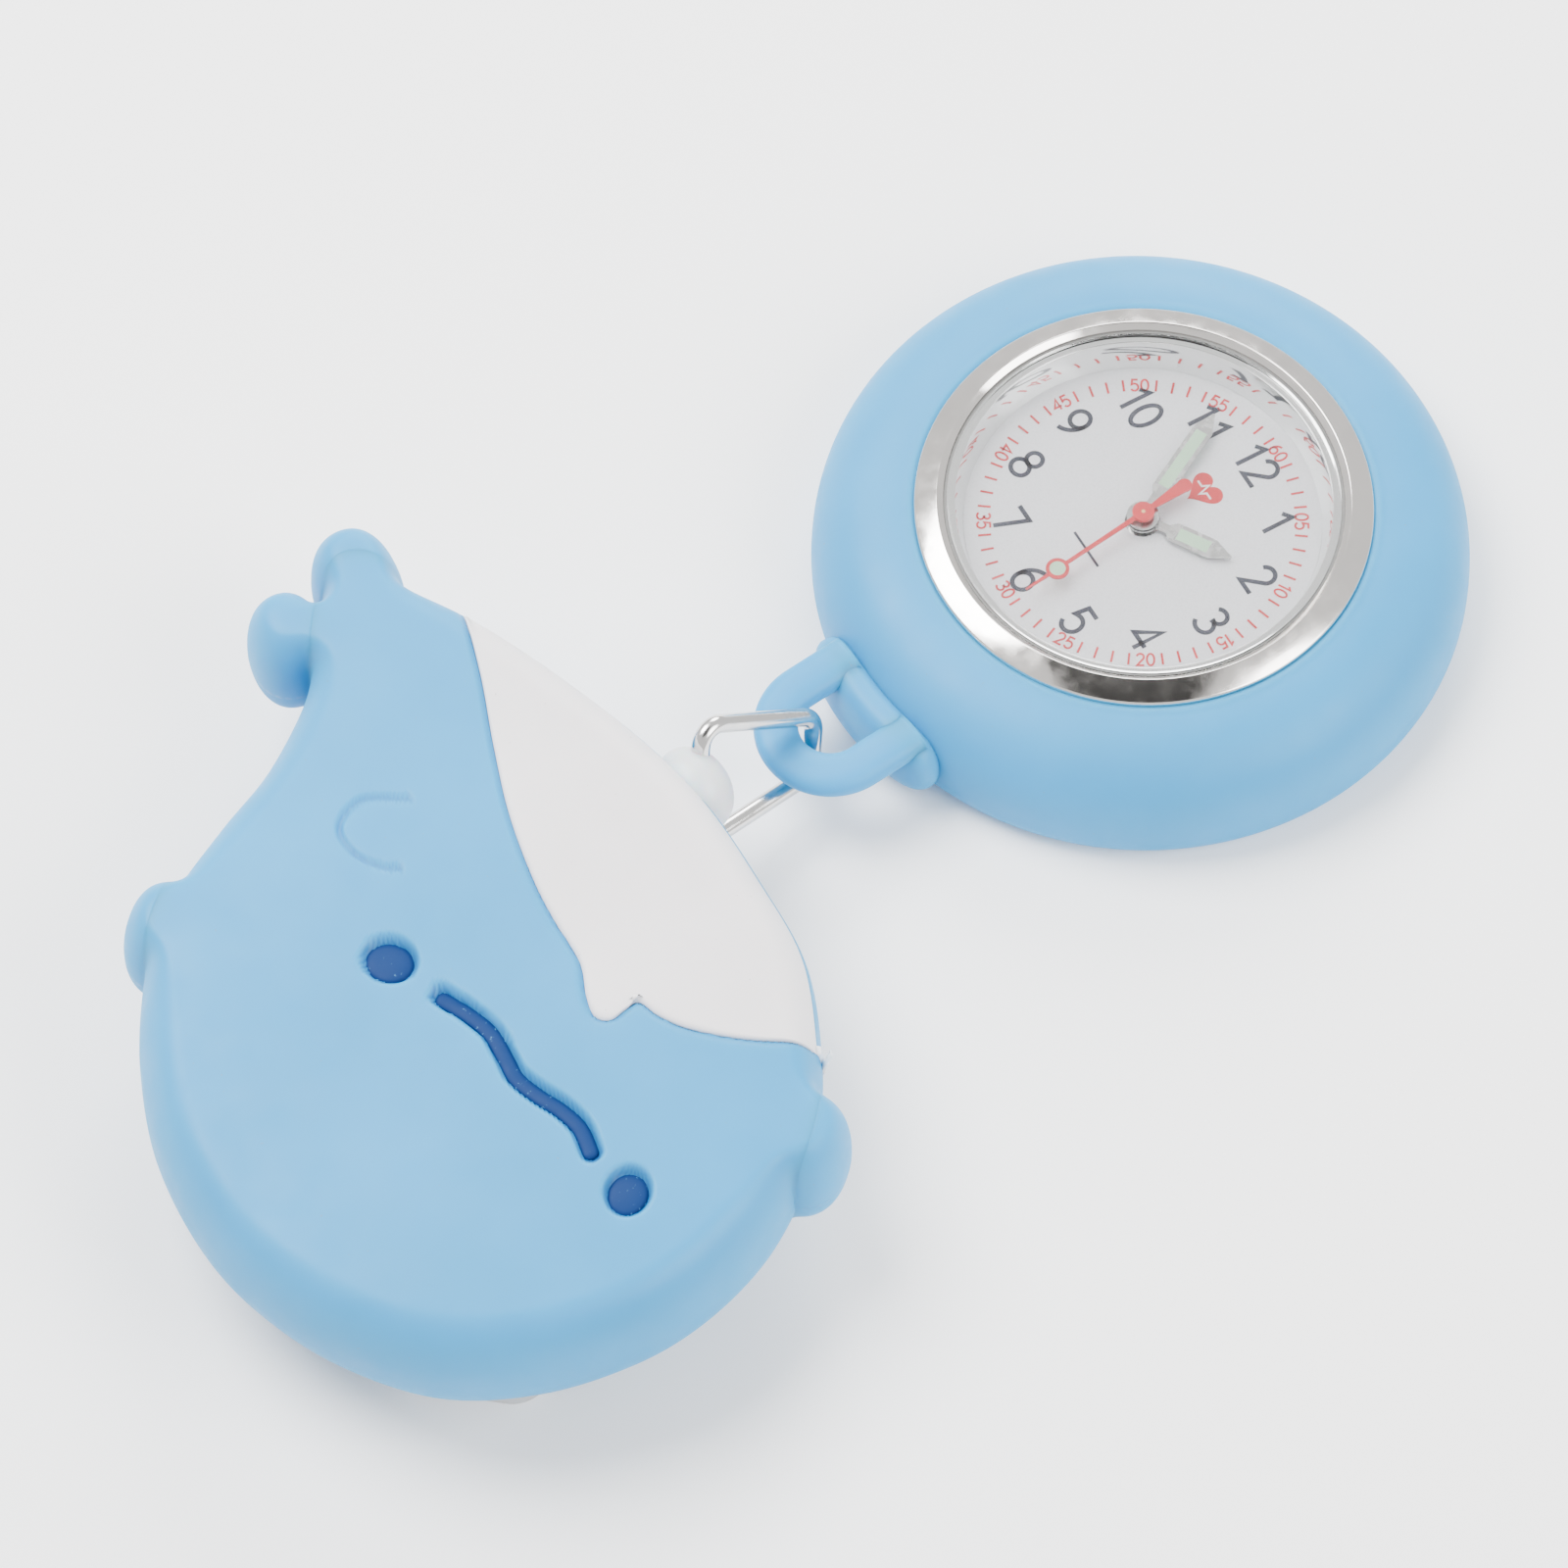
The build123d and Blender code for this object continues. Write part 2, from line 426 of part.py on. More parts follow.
def build_train():
    z0, z1 = BRIDGE_Z1 - 0.28, PLATE_Z0 + 0.38
    d3, a3 = polar(THIRD_AT)
    m1, m2 = d3 / 34, d3 / 36
    d5, a5 = polar(FIFTH_AT)
    m4 = d5 / 28
    rx, ry = ROTOR_AT[0] - FIFTH_AT[0], ROTOR_AT[1] - FIFTH_AT[1]
    dr, ar = polar((rx, ry))
    m5 = dr / 24
    dm, am = polar(MINUTE_WHEEL_AT)
    mm = dm / 20

    # seconds wheel on the centre arbor; its pinion drives the third wheel
    second = fuse(disc(0.12, BRIDGE_Z0 + 0.02, 7.2),
                  gear(48, m4, 2.72, 2.87), gear(8, m1, 2.95, 3.2, phase=0.5 * 8 / 8))
    put("second_wheel", watch_place(second))
    third = pivoted(Rot(0, 0, a3 + 180) * gear(60, m1, 3.0, 3.15),
                    Rot(0, 0, a3 + 180) * gear(8, m2, 3.2, 3.72, phase=0.5), z0, z1, THIRD_AT)
    put("third_wheel", watch_place(third))
    fifth = pivoted(Rot(0, 0, a5 + 180) * gear(8, m4, 2.68, 2.92, phase=0.5),
                    Rot(0, 0, a5 + 180) * gear(40, m5, 3.8, 3.95), z0, z1, FIFTH_AT)
    put("fifth_wheel", watch_place(fifth))
    rotor = pivoted(disc(0.85, 2.98, 3.38), Rot(0, 0, ar + 180) * gear(8, m5, 3.74, 4.0, phase=0.5), z0, z1, ROTOR_AT)
    put("rotor", watch_place(rotor))

    # centre wheel with the minute tube and the cannon pinion
    centre = fuse(Rot(0, 0, a3) * gear(64, m2, 3.5, 3.68, bore=0.17), ring(0.5, 0.17, 3.5, 6.9),
                  Rot(0, 0, am) * gear(10, mm, 5.0, 5.2, bore=0.17))
    put("centre_wheel", watch_place(centre))
    minute_wheel = fuse(Rot(0, 0, am + 180) * gear(30, mm, 5.0, 5.18, bore=0.35, phase=0.5),
                        Rot(0, 0, am + 180) * gear(8, mm, 5.18, 5.6, bore=0.35, phase=0.5))
    put("minute_wheel", watch_place(Pos(*MINUTE_WHEEL_AT) * minute_wheel))
    hour = fuse(Rot(0, 0, am) * gear(32, mm, 5.3, 5.5, bore=0.55), ring(0.85, 0.55, 5.3, 6.45))
    put("hour_wheel", watch_place(hour))


def sword(length, width, neck, bore, z0, thick):
    """Pointed hand along +x with an open window for the luminous paint."""
    w = width / 2
    pts = [(0.6, neck), (1.7, neck), (2.1, w), (length - 1.3, w), (length, 0.06),
           (length, -0.06), (length - 1.3, -w), (2.1, -w), (1.7, -neck), (0.6, -neck)]
    hand = extruded(pts, z0, z0 + thick) + disc(1.0, z0, z0 + thick)
    window = extruded([(2.4, w - 0.25), (length - 1.5, w - 0.25), (length - 1.5, 0.25 - w), (2.4, 0.25 - w)],
                      z0 - 1, z0 + 1)
    lume = window & disc(30, z0 + 0.02, z0 + thick)
    return hand - window - disc(bore, z0 - 1, z0 + 1), lume


def build_hands():
    hour, hour_lume = sword(HOUR_LEN, 1.35, 0.3, 0.85, 6.25, 0.15)
    at = Rot(0, 0, -HOUR_AT)
    put("hour_hand", watch_place(at * hour))
    put("hour_lume", watch_place(at * hour_lume))
    minute, minute_lume = sword(MINUTE_LEN, 1.25, 0.3, 0.5, 6.6, 0.15)
    at = Rot(0, 0, -MINUTE_AT)
    put("minute_hand", watch_place(at * minute))
    put("minute_lume", watch_place(at * minute_lume))
    z = 6.97
    ring_x, tail = 6.6, 3.2
    second = extruded([(-tail, 0.42), (-0.6, 0.16), (ring_x - 0.6, 0.11), (ring_x - 0.6, -0.11), (-0.6, -0.16),
                       (-tail, -0.42)], z, z + 0.13)
    second += disc(0.45, z, z + 0.13, -tail, 0) + disc(0.72, z, z + 0.13, ring_x, 0) + disc(0.68, z, z + 0.22)
    second += extruded([(ring_x + 0.5, 0.12), (SECOND_LEN, 0.05), (SECOND_LEN, -0.05), (ring_x + 0.5, -0.12)], z, z + 0.13)
    second -= disc(0.5, z - 1, z + 1, ring_x, 0) + disc(0.12, z - 1, z + 0.1)
    second -= disc(0.12, z - 0.1, z + 1)
    at = Rot(0, 0, -SECOND_AT)
    put("second_hand", watch_place(at * second))
    put("second_lume", watch_place(at * disc(0.5, z + 0.02, z + 0.11, ring_x, 0)))


def build_crown():
    """Crown and setting stem at 3 o'clock, along -y of the module."""
    turn = Pos(0, 0, 4.6) * Rot(90, 0, 0)
    def bar(r, y0, y1):
        return turn * Pos(0, 0, y0) * Cylinder(r, y1 - y0, align=(Align.CENTER, Align.CENTER, Align.MIN))
    crown = bar(1.5, 14.45, 16.2)
    crown = fillet(crown.edges().filter_by(GeomType.CIRCLE), 0.25)
    for k in range(20):
        a = 2 * math.pi * k / 20
        crown -= turn * Pos(1.52 * math.cos(a), 1.52 * math.sin(a), 14.0) * Cylinder(0.12, 3, align=(Align.CENTER, Align.CENTER, Align.MIN))
    put("crown", watch_place(crown))
    put("crown_stem", watch_place(bar(0.45, 9.9, 14.45)))
    put("stem_collar", watch_place(bar(0.8, 10.4, 11.0) - bar(0.45 + RUN, 10, 12)))


def main():
    build_whale()
    build_reel()
    build_clip()
    build_link()
    build_watch_cover()
    build_case()
    build_movement()
    build_train()
    build_hands()
    build_crown()
    os.makedirs("parts", exist_ok=True)
    for name, shape in PARTS.items():
        export_step(shape, "parts/%s.step" % name)
    print(len(PARTS), "parts; watch centre at", round(WATCH_X, 2), "band z", round(BAND_Z, 2))


if __name__ == "__main__":
    main()
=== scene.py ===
"""Looks of a retractable fob watch: whale reel cover, wire link, silicone watch cover, dial."""
import math

import bmesh
import bpy
import numpy as np
from bpy.props import FloatProperty, FloatVectorProperty, IntProperty, PointerProperty
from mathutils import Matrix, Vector


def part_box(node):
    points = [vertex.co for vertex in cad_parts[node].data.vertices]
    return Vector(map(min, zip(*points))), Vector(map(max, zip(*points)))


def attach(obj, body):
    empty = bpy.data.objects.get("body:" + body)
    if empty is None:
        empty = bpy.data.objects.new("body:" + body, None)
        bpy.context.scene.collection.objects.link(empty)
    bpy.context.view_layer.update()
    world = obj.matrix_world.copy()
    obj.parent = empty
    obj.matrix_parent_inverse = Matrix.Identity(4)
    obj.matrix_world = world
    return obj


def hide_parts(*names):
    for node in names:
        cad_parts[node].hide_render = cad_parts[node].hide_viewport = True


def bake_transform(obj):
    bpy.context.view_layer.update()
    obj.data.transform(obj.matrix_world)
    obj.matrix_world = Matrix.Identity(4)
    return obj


bl_info = {
    "name": "Retractable fob watch",
    "version": (1, 0, 0),
    "blender": (4, 5, 0),
    "location": "3D View > Sidebar > Fob watch",
    "description": "Builds the covers, dial, link and finishes of a fob watch",
    "category": "Object",
}

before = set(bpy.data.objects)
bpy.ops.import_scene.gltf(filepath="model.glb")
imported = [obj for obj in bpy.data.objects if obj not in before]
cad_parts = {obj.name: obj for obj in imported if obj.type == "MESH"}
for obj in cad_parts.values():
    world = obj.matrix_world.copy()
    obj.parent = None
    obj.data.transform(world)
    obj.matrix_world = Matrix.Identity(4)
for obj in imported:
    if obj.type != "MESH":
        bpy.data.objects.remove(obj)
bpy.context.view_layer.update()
MM = 0.001

# places taken from the frame, in millimetres
CASE_LO, CASE_HI = (np.array(c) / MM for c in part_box("watch_case"))
WHALE_LO, WHALE_HI = (np.array(c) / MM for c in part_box("whale_cover"))
REEL_LO, REEL_HI = (np.array(c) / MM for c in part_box("reel_back_shell"))
BEAD_LO, BEAD_HI = (np.array(c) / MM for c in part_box("cord_stopper"))
DIAL_HI = np.array(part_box("dial")[1]) / MM
CORD_LO, CORD_HI = (np.array(c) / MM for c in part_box("cord_lead"))
WATCH_X, WATCH_Y = (CASE_LO + CASE_HI)[:2] / 2
BEAD = (BEAD_LO + BEAD_HI) / 2
BEAD_R = (BEAD_HI - BEAD_LO)[2] / 2
MODULE_TURN = math.radians(-6.2)        # turn of 12 o'clock from +X

# wire link: half heights at the stopper and the loop, length, wire radius, slope and lean
LINK_BASE, LINK_END, LINK_LENGTH, WIRE_R = 4.2, 1.95, 9.2, 0.575
LINK_FALL, LINK_LEAN = math.radians(24.0), math.radians(24.0)
# loop of the watch cover: its plain radius and band, and the room left for the wire
LOOP_R, BAND_R, WIRE_ROOM = 3.1, 1.2, 0.15
BAND_REACH = LINK_LENGTH - WIRE_R - WIRE_ROOM - BAND_R
LOOP_X = BEAD[0] + BAND_REACH * math.cos(LINK_FALL) + LOOP_R
LOOP_Z = BEAD[2] - BAND_REACH * math.sin(LINK_FALL)


# ------------------------------------------------------------ settings ----
def colour(name, default):
    """A colour setting."""
    return FloatVectorProperty(name=name, description=name + ", linear", subtype="COLOR",
                               size=3, min=0.0, max=1.0, default=default)


def length(name, default, low=0.0, high=500.0):
    """A length setting."""
    return FloatProperty(name=name, description=name + " in millimetres", unit="NONE",
                         default=default, min=low, max=high)


class FobColours(bpy.types.PropertyGroup):
    """Colours of the silicone, print and metal."""
    silicone: colour("Blue silicone", (0.014, 0.25, 0.51))
    belly: colour("Belly patch", (0.88, 0.91, 0.95))
    navy: colour("Eyes and mouth", (0.001, 0.022, 0.10))
    dial: colour("Dial lacquer", (0.86, 0.87, 0.90))
    numerals: colour("Hour numerals", (0.018, 0.02, 0.04))
    red: colour("Minute track and seconds hand", (0.62, 0.012, 0.02))
    lume: colour("Luminous paint", (0.50, 0.74, 0.52))
    metal: colour("Nickel and steel", (0.66, 0.65, 0.64))
    plastic: colour("Moulded plastic", (0.82, 0.82, 0.81))
    floor: colour("Floor", (0.97, 0.97, 0.97))


class FobSizes(bpy.types.PropertyGroup):
    """Sizes the covers and the print are worked out from."""
    whale_grid: IntProperty(name="Whale grid", description="Cells along one side of the whale's top",
                            default=256, min=32, max=280)
    whale_crown: length("Crown of the whale's face", 0.7, 0.0, 3.0)
    recess: length("Depth of eyes and mouth", 0.65, 0.1, 2.0)
    numeral_height: length("Height of the hour numerals", 2.1, 0.5, 4.0)
    numeral_radius: length("Radius of the hour numerals", 8.1, 2.0, 11.0)
    numeral_stroke: length("Stroke of the hour numerals", 0.29, 0.05, 1.0)
    track_radius: length("Middle radius of the minute track", 9.7, 5.0, 11.0)
    camera_distance: length("Distance of the camera", 480.0, 100.0, 2000.0)
    camera_lens: FloatProperty(name="Lens", description="Focal length in millimetres on a 36 mm sensor",
                               default=181.4, min=20.0, max=400.0)
    camera_turn: FloatProperty(name="Camera turn", description="Turn of the view about the vertical",
                               subtype="ANGLE", default=math.radians(36.0))
    camera_tilt: FloatProperty(name="Camera tilt", description="Height of the view above the horizon",
                               subtype="ANGLE", default=math.radians(61.4))


def colours():
    """The colour settings."""
    return bpy.context.scene.fob_colours


def sizes():
    """The size settings."""
    return bpy.context.scene.fob_sizes


# -------------------------------------------------------------- meshes ----
def quads(rows, cols, wrap_rows=False, wrap_cols=False, flip=False):
    """Faces of a rows x cols vertex grid, joined end to end where it wraps."""
    i = np.arange(rows if wrap_rows else rows - 1)[:, None]
    j = np.arange(cols if wrap_cols else cols - 1)[None, :]
    i2, j2 = (i + 1) % rows, (j + 1) % cols
    f = np.stack([i * cols + j, i * cols + j2, i2 * cols + j2, i2 * cols + j], -1).reshape(-1, 4)
    return f[:, ::-1] if flip else f


def piece(name, verts, faces, material, body, replaced=(), slot=None, smooth=True, uv=None):
    """One mesh object from points in millimetres and a list of face arrays."""
    mesh = bpy.data.meshes.new(name)
    lists = [row for block in faces for row in block.tolist()]
    mesh.from_pydata((np.asarray(verts, float) * MM).tolist(), [], lists)
    mesh.update()
    mesh.polygons.foreach_set("use_smooth", np.full(len(mesh.polygons), smooth))
    if uv is not None:
        loops = np.empty(len(mesh.loops), np.int32)
        mesh.loops.foreach_get("vertex_index", loops)
        layer = mesh.uv_layers.new(name="UVMap")
        layer.data.foreach_set("uv", np.asarray(uv, np.float32)[loops].ravel())
    mesh.materials.append(material)
    obj = bpy.data.objects.new(name, mesh)
    bpy.context.scene.collection.objects.link(obj)
    if body:
        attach(obj, body)
    if replaced:
        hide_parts(*replaced)
    return obj


def lathe(profile, centre, count=256, closed=False):
    """Surface of revolution: each (radius, height) of the profile carried round a vertical axis.
    A profile that starts or ends on the axis is closed by one point there."""
    profile = np.asarray(profile, float)
    start_pole = (not closed) and profile[0, 0] == 0
    end_pole = (not closed) and profile[-1, 0] == 0
    rings = profile[int(start_pole):len(profile) - int(end_pole)]
    a = np.linspace(0, 2 * np.pi, count, endpoint=False)
    grid = np.stack([rings[:, :1] * np.cos(a) + centre[0], rings[:, :1] * np.sin(a) + centre[1],
                     rings[:, 1:] + 0 * a], -1)
    verts = grid.reshape(-1, 3)
    n = len(rings)
    faces = [quads(n, count, wrap_rows=closed, wrap_cols=True)]
    j = np.arange(count)
    j2 = (j + 1) % count
    if start_pole:
        verts = np.vstack([verts, [centre[0], centre[1], profile[0, 1]]])
        faces.append(np.stack([j2, j, np.full(count, len(verts) - 1)], -1))
    if end_pole:
        verts = np.vstack([verts, [centre[0], centre[1], profile[-1, 1]]])
        last = (n - 1) * count
        faces.append(np.stack([last + j, last + j2, np.full(count, len(verts) - 1)], -1))
    return verts, faces


def rounded(points, radius, steps=6, closed=True):
    """Corner-rounded polyline: each corner becomes an arc tangent to its two sides."""
    pts = np.asarray(points, float)
    radius = np.broadcast_to(np.asarray(radius, float), (len(pts),))
    out = []
    last = len(pts)
    for k in range(last):
        if not closed and k in (0, last - 1):
            out.append(pts[k][None])
            continue
        a, b, c = pts[k - 1], pts[k], pts[(k + 1) % last]
        u, v = (a - b) / np.linalg.norm(a - b), (c - b) / np.linalg.norm(c - b)
        half = math.acos(np.clip(u @ v, -1, 1)) / 2
        if radius[k] <= 0 or half > 1.56:
            out.append(b[None])
            continue
        reach = radius[k] / math.tan(half)
        mid = b + (u + v) / np.linalg.norm(u + v) * radius[k] / math.sin(half)
        p, q = b + u * reach - mid, b + v * reach - mid
        w = np.linspace(0, 1, steps + 1)[:, None]
        sweep = math.acos(np.clip(p @ q / radius[k] ** 2, -1, 1))
        out.append(mid + (np.sin((1 - w) * sweep) * p + np.sin(w * sweep) * q) / math.sin(sweep))
    return np.vstack(out)


def resample(points, count, closed=True):
    """The same line with its points an equal distance apart."""
    pts = np.vstack([points, points[:1]]) if closed else np.asarray(points)
    s = np.concatenate([[0], np.cumsum(np.linalg.norm(np.diff(pts, axis=0), axis=1))])
    t = np.linspace(0, s[-1], count, endpoint=not closed)
    return np.stack([np.interp(t, s, pts[:, k]) for k in range(pts.shape[1])], -1)


def smooth_line(points, count, closed=False):
    """Catmull-Rom curve through the points, each piece a cubic set by its four neighbours."""
    p = np.asarray(points, float)
    if closed:
        ext = np.vstack([p[-1], p, p[:2]])
        spans = len(p)
    else:
        ext = np.vstack([2 * p[0] - p[1], p, 2 * p[-1] - p[-2]])
        spans = len(p) - 1
    u = np.linspace(0, spans, count * 4, endpoint=not closed)
    k = np.minimum(u.astype(int), spans - 1)
    f = (u - k)[:, None]
    a, b, c, d = ext[k], ext[k + 1], ext[k + 2], ext[k + 3]
    line = 0.5 * (2 * b + (c - a) * f + (2 * a - 5 * b + 4 * c - d) * f ** 2
                  + (3 * b - a - 3 * c + d) * f ** 3)
    return resample(line, count, closed)


def tube(path, section, normal, closed=False, scale=None):
    """Section points (side, up) carried along a flat path; side lies in the path's plane.
    An open tube is closed by a point at each end."""
    path, normal = np.asarray(path, float), np.asarray(normal, float)
    along = np.roll(path, -1, 0) - np.roll(path, 1, 0) if closed else np.gradient(path, axis=0)
    along /= np.linalg.norm(along, axis=1)[:, None]
    side = np.cross(normal, along)
    scale = np.ones(len(path)) if scale is None else scale
    across = section[None, :, :1] * side[:, None] + section[None, :, 1:] * normal
    grid = path[:, None] + scale[:, None, None] * across
    n, m = len(path), len(section)
    verts = grid.reshape(-1, 3)
    faces = [quads(n, m, wrap_rows=closed, wrap_cols=True, flip=True)]
    if not closed:
        j = np.arange(m)
        j2 = (j + 1) % m
        verts = np.vstack([verts, path[0], path[-1]])
        faces.append(np.stack([j, j2, np.full(m, n * m)], -1))
        faces.append(np.stack([(n - 1) * m + j2, (n - 1) * m + j, np.full(m, n * m + 1)], -1))
    return verts, faces


def circle_section(a, b=None, count=24, power=1.0):
    """Ellipse, or with power under 1 a squarer oval, as (side, up) points."""
    b = a if b is None else b
    t = np.linspace(0, 2 * np.pi, count, endpoint=False)
    c, s = np.cos(t), np.sin(t)
    return np.stack([a * np.sign(c) * np.abs(c) ** power, b * np.sign(s) * np.abs(s) ** power], -1)


def join(*blocks):
    """Several (verts, faces) as one."""
    verts, faces, n = [], [], 0
    for v, f in blocks:
        verts.append(v)
        faces += [g + n for g in f]
        n += len(v)
    return np.vstack(verts), faces


def step(x):
    """Smooth step from 0 to 1."""
    x = np.clip(x, 0, 1)
    return x * x * (3 - 2 * x)


# ----------------------------------------------------------- materials ----
class Finish:
    """A Principled material with short calls to add its noise, colour and bump."""

    def __init__(self, name, base, roughness=0.5, metallic=0.0, **sockets):
        """A new material with a shader, its output and a source of coordinates."""
        self.mat = bpy.data.materials.new(name)
        self.mat.use_nodes = True
        self.tree = self.mat.node_tree
        self.tree.nodes.clear()
        self.out = self.node("ShaderNodeOutputMaterial")
        self.bsdf = self.node("ShaderNodeBsdfPrincipled")
        self.tree.links.new(self.bsdf.outputs[0], self.out.inputs[0])
        self.coord = self.node("ShaderNodeTexCoord")
        self.base = (*base, 1.0)
        self.set(**{"Base Color": self.base, "Roughness": roughness, "Metallic": metallic})
        self.set(**{k.replace("_", " "): v for k, v in sockets.items()})

    def set(self, **values):
        """Give sockets of the shader a plain value."""
        for key, value in values.items():
            self.bsdf.inputs[key].default_value = value

    def node(self, kind, **attributes):
        """A new node with some of its attributes set."""
        made = self.tree.nodes.new(kind)
        for key, value in attributes.items():
            setattr(made, key, value)
        return made

    def link(self, source, target):
        """Join two sockets."""
        self.tree.links.new(source, target)

    def noise(self, scale, detail=3.0, rough=0.5, stretch=(1, 1, 1), turn=(0, 0, 0), source=None):
        """Noise in the space of the object, scale in features per metre."""
        place = self.node("ShaderNodeMapping")
        place.inputs["Scale"].default_value = stretch
        place.inputs["Rotation"].default_value = turn
        self.link(source or self.coord.outputs["Object"], place.inputs[0])
        tex = self.node("ShaderNodeTexNoise")
        tex.inputs["Scale"].default_value = scale
        tex.inputs["Detail"].default_value = detail
        tex.inputs["Roughness"].default_value = rough
        self.link(place.outputs[0], tex.inputs["Vector"])
        return tex.outputs["Fac"]

    def rings(self, centre, scale, detail=2.0):
        """Noise by distance from a vertical axis: the lines a lathe leaves."""
        place = self.node("ShaderNodeMapping")
        place.inputs["Location"].default_value = (-centre[0] * MM, -centre[1] * MM, 0)
        place.inputs["Scale"].default_value = (1, 1, 0)
        self.link(self.coord.outputs["Object"], place.inputs[0])
        away = self.node("ShaderNodeVectorMath", operation="LENGTH")
        self.link(place.outputs[0], away.inputs[0])
        tex = self.node("ShaderNodeTexNoise", noise_dimensions="1D")
        tex.inputs["Scale"].default_value = scale
        tex.inputs["Detail"].default_value = detail
        self.link(away.outputs["Value"], tex.inputs["W"])
        return tex.outputs["Fac"]

    def spread(self, source, low, high, out_low, out_high):
        """A value moved from one range to another."""
        made = self.node("ShaderNodeMapRange")
        for key, value in (("From Min", low), ("From Max", high),
                           ("To Min", out_low), ("To Max", out_high)):
            made.inputs[key].default_value = value
        self.link(source, made.inputs["Value"])
        return made.outputs["Result"]

    def roughness(self, source, low, high):
        """Roughness between two values, by a noise."""
        self.link(self.spread(source, 0.3, 0.7, low, high), self.bsdf.inputs["Roughness"])

    def tint(self, source, other, low=0.35, high=0.75, base=None):
        """Base colour mixed toward another one where the source is high."""
        mix = self.node("ShaderNodeMix", data_type="RGBA")
        self.link(self.spread(source, low, high, 0.0, 1.0), mix.inputs["Factor"])
        if base is None:
            mix.inputs[6].default_value = self.base
        else:
            self.link(base, mix.inputs[6])
        mix.inputs[7].default_value = (*other, 1.0)
        self.link(mix.outputs[2], self.bsdf.inputs["Base Color"])
        return mix.outputs[2]

    def bump(self, source, height, strength=1.0, after=None):
        """Relief of a height in millimetres, on top of an earlier one if given."""
        made = self.node("ShaderNodeBump")
        made.inputs["Distance"].default_value = height * MM
        made.inputs["Strength"].default_value = strength
        self.link(source, made.inputs["Height"])
        if after is not None:
            self.link(after, made.inputs["Normal"])
        self.link(made.outputs[0], self.bsdf.inputs["Normal"])
        return made.outputs[0]


def shade(c, k):
    """A colour made k times as bright."""
    return tuple(min(1.0, max(0.0, v * k)) for v in c)


def silicone(name, base, specks=True, recess_shade=None, soft=0.45):
    """Soft moulded silicone: light passes a little way in, fine matte texture, odd dust, and, where a
    recess colour is given, painted shade in the recesses.
    """
    f = Finish(name, base, 0.5, Subsurface_Weight=soft, Subsurface_Radius=(0.6, 0.9, 1.0),
               Subsurface_Scale=0.003, Specular_IOR_Level=0.35, IOR=1.41)
    broad = f.noise(90.0, 3.0)
    mixed = f.tint(broad, tuple(1.12 * v + 0.006 for v in base), 0.3, 0.75)
    if specks:
        dust = f.noise(2600.0, 2.0, 0.6)
        mixed = f.tint(dust, tuple(0.5 * v + 0.1 for v in base), 0.74, 0.80, base=mixed)
    # painted shade: where a point lies in a recess or groove, the skin is tinted toward a darker blue
    if recess_shade is not None:
        read = f.node("ShaderNodeAttribute", attribute_name="recess_shade_weight")
        f.tint(read.outputs["Fac"], recess_shade, 0.0, 1.0, base=mixed)
    f.roughness(f.noise(420.0, 4.0), 0.42, 0.56)
    fine = f.bump(f.noise(5200.0, 3.0, 0.6), 0.004, 0.5)
    f.bump(f.noise(300.0, 2.0), 0.02, 0.35, after=fine)
    return f.mat


def inlay(name, base):
    """Dark silicone of the eyes and mouth, with a few lighter specks."""
    f = Finish(name, base, 0.55, Specular_IOR_Level=0.15)
    f.roughness(f.noise(500.0, 4.0), 0.5, 0.65)
    f.tint(f.noise(3000.0, 2.0, 0.6), (0.05, 0.16, 0.32), 0.66, 0.76)
    f.bump(f.noise(4200.0, 3.0, 0.6), 0.004, 0.5)
    return f.mat


def turned_metal(name, base, centre, low=0.22, high=0.4, groove=0.002):
    """Metal with the fine circular lines of turning."""
    f = Finish(name, base, 0.3, 1.0, Anisotropic=0.5)
    lines = f.rings(centre, 9000.0, 3.0)
    f.roughness(lines, low, high)
    f.tint(f.noise(260.0, 4.0), shade(base, 0.86), 0.4, 0.8)
    f.bump(lines, groove, 0.6)
    return f.mat


def polished_metal(name, base, centre):
    """Polished plated steel: nearly a mirror, with faint rings and small marks from use."""
    f = Finish(name, base, 0.12, 1.0)
    f.roughness(f.noise(900.0, 5.0, 0.6), 0.07, 0.2)
    f.tint(f.noise(240.0, 3.0), shade(base, 0.92), 0.4, 0.8)
    lines = f.bump(f.rings(centre, 6000.0), 0.0006, 0.4)
    f.bump(f.noise(130.0, 2.0), 0.006, 0.3, after=lines)
    return f.mat


def plated_wire(name, base, low=0.08, high=0.24):
    """Bright nickel plate with drawing lines and handling marks."""
    f = Finish(name, base, 0.15, 1.0)
    f.roughness(f.noise(700.0, 5.0, 0.6), low, high)
    f.tint(f.noise(350.0, 4.0), shade(base, 0.8), 0.45, 0.8)
    f.bump(f.noise(2600.0, 3.0, 0.6, stretch=(0.25, 1, 1)), 0.0035, 0.5)
    return f.mat


def sheet_steel(name, base, turn):
    """Rolled spring steel, brushed along the clip."""
    f = Finish(name, base, 0.3, 1.0, Anisotropic=0.4)
    lines = f.noise(1500.0, 4.0, 0.6, stretch=(0.04, 1, 1), turn=(0, 0, turn))
    f.roughness(lines, 0.2, 0.42)
    f.tint(f.noise(300.0, 4.0), shade(base, 0.82), 0.4, 0.8)
    f.bump(lines, 0.003, 0.5)
    return f.mat


def moulded(name, base, low=0.28, high=0.42, grain=0.004, **sockets):
    """Injection moulded plastic with a light spark texture."""
    f = Finish(name, base, 0.35, **sockets)
    f.roughness(f.noise(600.0, 4.0), low, high)
    f.tint(f.noise(200.0, 3.0), tuple(0.94 * v for v in base), 0.35, 0.8)
    f.bump(f.noise(3800.0, 3.0, 0.6), grain, 0.5)
    return f.mat


